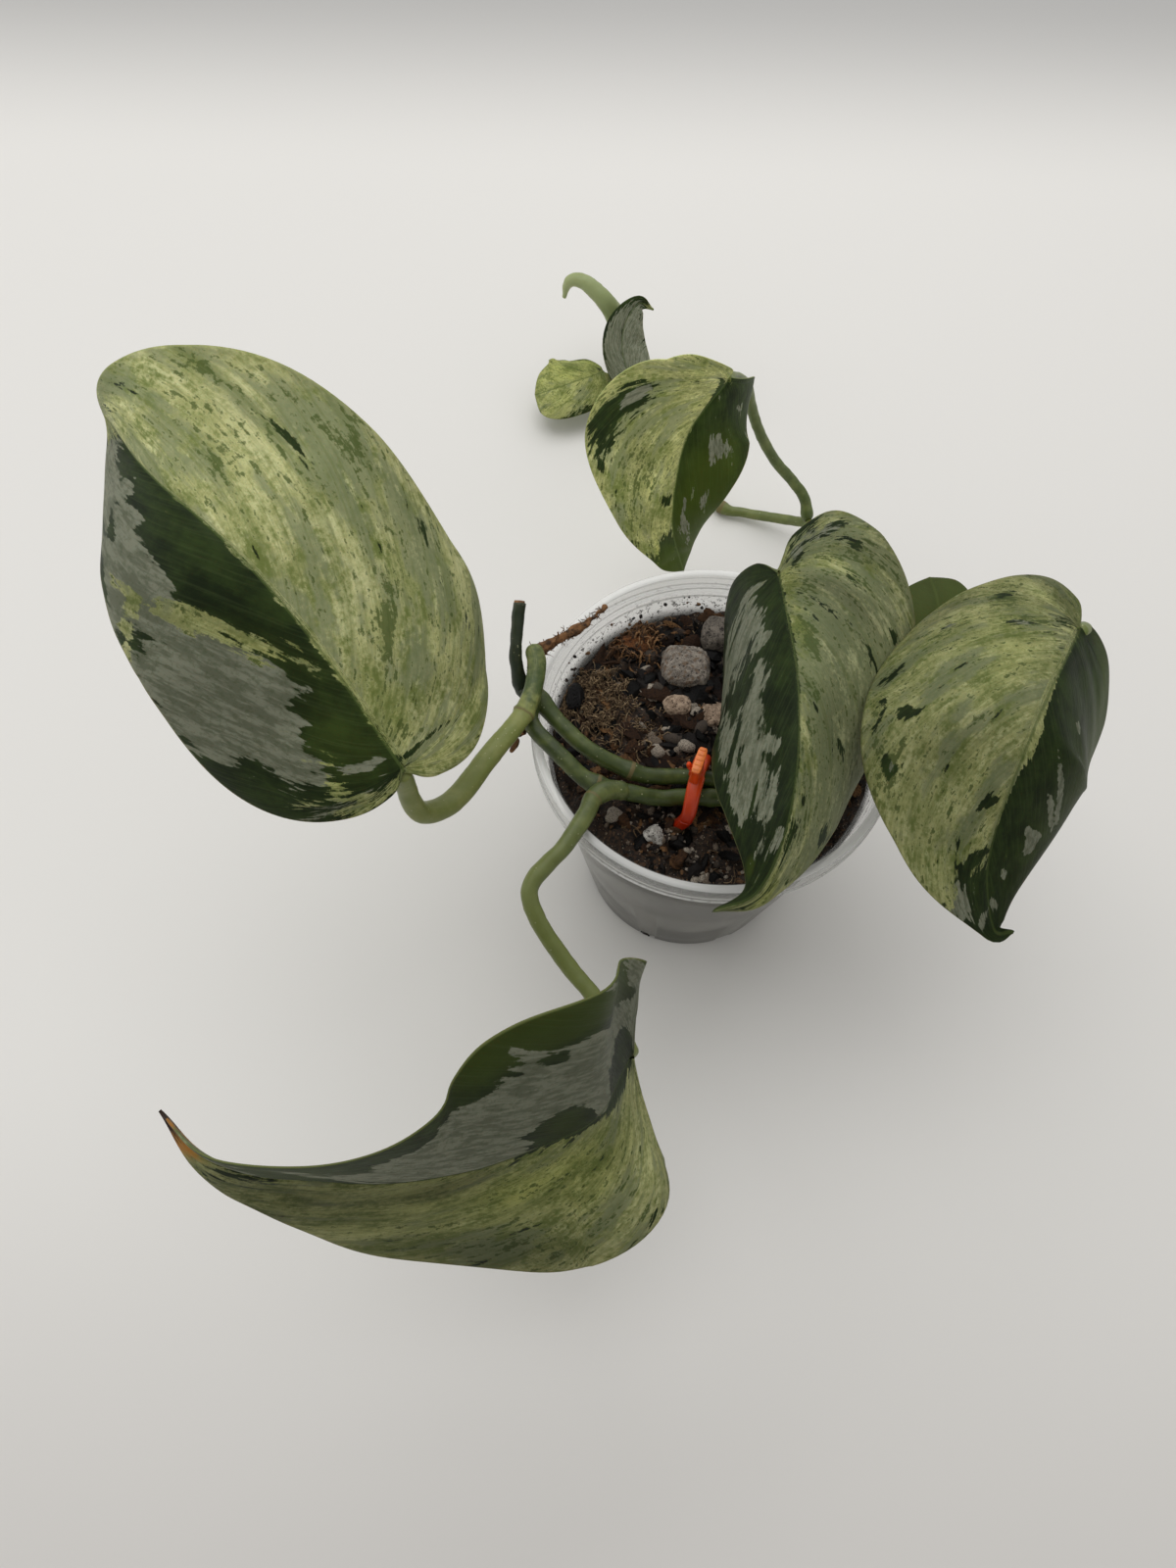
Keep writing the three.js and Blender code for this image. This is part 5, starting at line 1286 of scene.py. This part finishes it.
def dry_pieces():
    bark = stem_material("stub_skin", rgb(30, 42, 26), rgb(34, 46, 26), rgb(58, 62, 40), gloss=0.5)
    foot = [(-44.9, 2.2, 89.2), (-46.6, 3.4, 89.6)]
    stub = tube((STUB[0], foot + STUB[1]), swell=[(0.2, 0.3, 2)], rough=0.08, seed=61, end=0.06)
    merged_piece("cut_stub_stalk", [stub], bark, "cut_stub")
    tip, under = np.array(STUB[1][-1]), np.array(STUB[1][-2])
    heading = unit(tip - under)
    ends = [tip - heading * 0.5, tip - heading * 0.1, tip + heading * 0.12]
    face = tube(((1.32, 1.3, 1.2), ends), step=0.08, rough=0.03, seed=62, end=0.05)
    dry = mineral("dry_cut", rgb(96, 62, 40), rgb(176, 134, 98), pit=2.4, grain=3.0)
    merged_piece("cut_stub_end", [face], dry)
    s = Shader("dead_fibre")
    where = s.place()
    cloud = s.noise(where, 0.5, 4.0, 0.7)
    threads = s.noise(s.stretch(s.field("grain")["Vector"], (6, 0.4, 1)), detail=3.0, rough=0.7)
    colour = s.mix(s.step(cloud, 0.36, 0.62), rgb(52, 34, 22), rgb(132, 92, 56))
    colour = s.mix(s.step(threads, 0.5, 0.7, (0, 0.7)), colour, rgb(164, 126, 84))
    normal = s.bump(s.total((0.5, cloud), (0.5, threads)), 0.5, 1.0)
    fibre = s.finish(Base_Color=colour, Roughness=0.95, Normal=normal)
    rng = np.random.default_rng(8)
    thin = [r * share for r, share in zip(DEAD_ROOT[0], (1, 0.8, 0.7, 0.62, 0.6, 0.6, 0.7, 0.9))]
    parts = [tube((thin, DEAD_ROOT[1]), rough=0.36, seed=71, sides=26, step=0.3)]
    spine = catmull(DEAD_ROOT[1], np.linspace(0, 1, 120))
    for _ in range(150):
        i = int(rng.integers(5, 112))
        thick = 2.2 * bell(i / 120, 0.25, 0.2) + 0.5
        start = spine[i] + unit(rng.normal(size=3)) * thick * 0.5
        out = unit(rng.normal(size=3) + np.array([0, 0, 0.3]))
        length = rng.uniform(0.8, 2.6)
        points = [start + out * length * t + 0.3 * rng.normal(size=3) * t for t in (0, 0.35, 0.7, 1)]
        parts.append(tube(((0.16, 0.07), points), sides=4, step=0.5, rough=0.02, seed=int(rng.integers(999))))
    # Withered rootlets under the node at the left rim
    for start, end in (((-46.5, -3, 87.5), (-50.5, -6.5, 84)), ((-46, -6, 87.3), (-49, -10, 85.5)),
                       ((-46, -1, 87.2), (-49.5, -4, 84.5))):
        a, b = np.array(start), np.array(end)
        points = [a + (b - a) * t + 0.7 * rng.normal(size=3) * (t > 0) for t in (0, 0.3, 0.65, 1)]
        seed = int(rng.integers(999))
        parts.append(tube(((0.75, 0.6, 0.35), points), sides=10, step=0.3, rough=0.2, seed=seed))
    merged_piece("dead_root_fibre", parts, fibre, "dead_root")


def new_leaf_piece():
    skin = stem_material("new_leaf_skin", rgb(78, 92, 48), rgb(160, 170, 118), rgb(140, 152, 98), gloss=0.4)
    verts, faces, fields = tube(NEW_LEAF, sides=36, rough=0.06, seed=81)
    # The rolled blade's free edge winds round it as a low step
    turn, reach = fields["grain"][:, 0], fields["grain"][:, 1]
    seam = (turn - 0.055 * reach + 1.2) % (2 * np.pi)
    radii, points = NEW_LEAF
    spine = catmull(points, np.linspace(0, 1, 400))
    near = np.array([spine[np.argmin(np.linalg.norm(spine - v, axis=1))] for v in verts])
    away = verts - near
    verts = near + away * (0.86 + 0.14 * seam / (2 * np.pi))[:, None]
    make_piece("new_leaf_roll", verts, faces, skin, "new_leaf", fields=fields)


# ---- Stage, light and camera

def stage():
    mesh = bpy.data.meshes.new("floor")
    corners = [(-FLOOR, -FLOOR, 0), (FLOOR, -FLOOR, 0), (FLOOR, FLOOR, 0), (-FLOOR, FLOOR, 0)]
    mesh.from_pydata(corners, [], [(0, 1, 2, 3)])
    floor = bpy.data.objects.new("floor", mesh)
    bpy.context.scene.collection.objects.link(floor)
    s = Shader("pale_table")
    where = s.place()
    depth = s.split(where)[1]
    # Painted shadow: the floor darkens towards the front, on the camera's side. Far behind, it is darker
    # again.
    colour = s.mix(s.step(depth, -230, -60), rgb(208, 205, 201), rgb(230, 228, 224))
    colour = s.mix(s.step(depth, 310, 470), colour, rgb(175, 174, 172))
    normal = s.bump(s.noise(where, 0.6, 3.0), 0.03, 0.3)
    mesh.materials.append(s.finish(Base_Color=colour, Roughness=0.6, Normal=normal))
    scene = bpy.context.scene
    world = bpy.data.worlds.new("room")
    scene.world = world
    world.use_nodes = True
    sky = world.node_tree.nodes["Background"].inputs
    sky[0].default_value, sky[1].default_value = (1, 0.995, 0.98, 1), ROOM_LIGHT
    for name, (place, size, power) in LAMPS.items():
        lamp = bpy.data.lights.new(name, "AREA")
        lamp.size, lamp.energy = size, power
        holder = bpy.data.objects.new(name, lamp)
        scene.collection.objects.link(holder)
        aim = Vector(LAMP_AIM) - Vector(place)
        holder.matrix_world = Matrix.Translation(place) @ aim.to_track_quat("-Z", "Y").to_matrix().to_4x4()
    scene.view_settings.view_transform = "Standard"


def camera():
    """Looks from the photograph's viewpoint."""
    pitch, roll = math.radians(PITCH), math.radians(ROLL)
    ahead = Vector((0, math.cos(pitch), -math.sin(pitch)))
    across, up = Vector((1, 0, 0)), Vector((0, math.sin(pitch), math.cos(pitch)))
    right = math.cos(roll) * across + math.sin(roll) * up
    top = -math.sin(roll) * across + math.cos(roll) * up
    lens = bpy.data.cameras.new("photo_view")
    lens.sensor_fit, lens.sensor_height, lens.lens = "VERTICAL", SENSOR, SENSOR * FOCAL / PICTURE_HEIGHT
    lens.clip_start = 0.01
    holder = bpy.data.objects.new("photo_view", lens)
    bpy.context.scene.collection.objects.link(holder)
    turn = Matrix((right, top, -ahead)).transposed().to_4x4()
    holder.matrix_world = Matrix.Translation(Vector(EYE) * MM) @ turn
    bpy.context.scene.camera = holder


camera()
stage()
leaf_top, leaf_under = leaf_material("leaf_face"), leaf_material("leaf_underside", under=True)
for key, shape in LEAVES.items():
    leaf_piece(key, shape, leaf_top, leaf_under)
stems()
pot_piece()
potting_mix()
clip_piece()
dry_pieces()
new_leaf_piece()

bpy.context.view_layer.update()
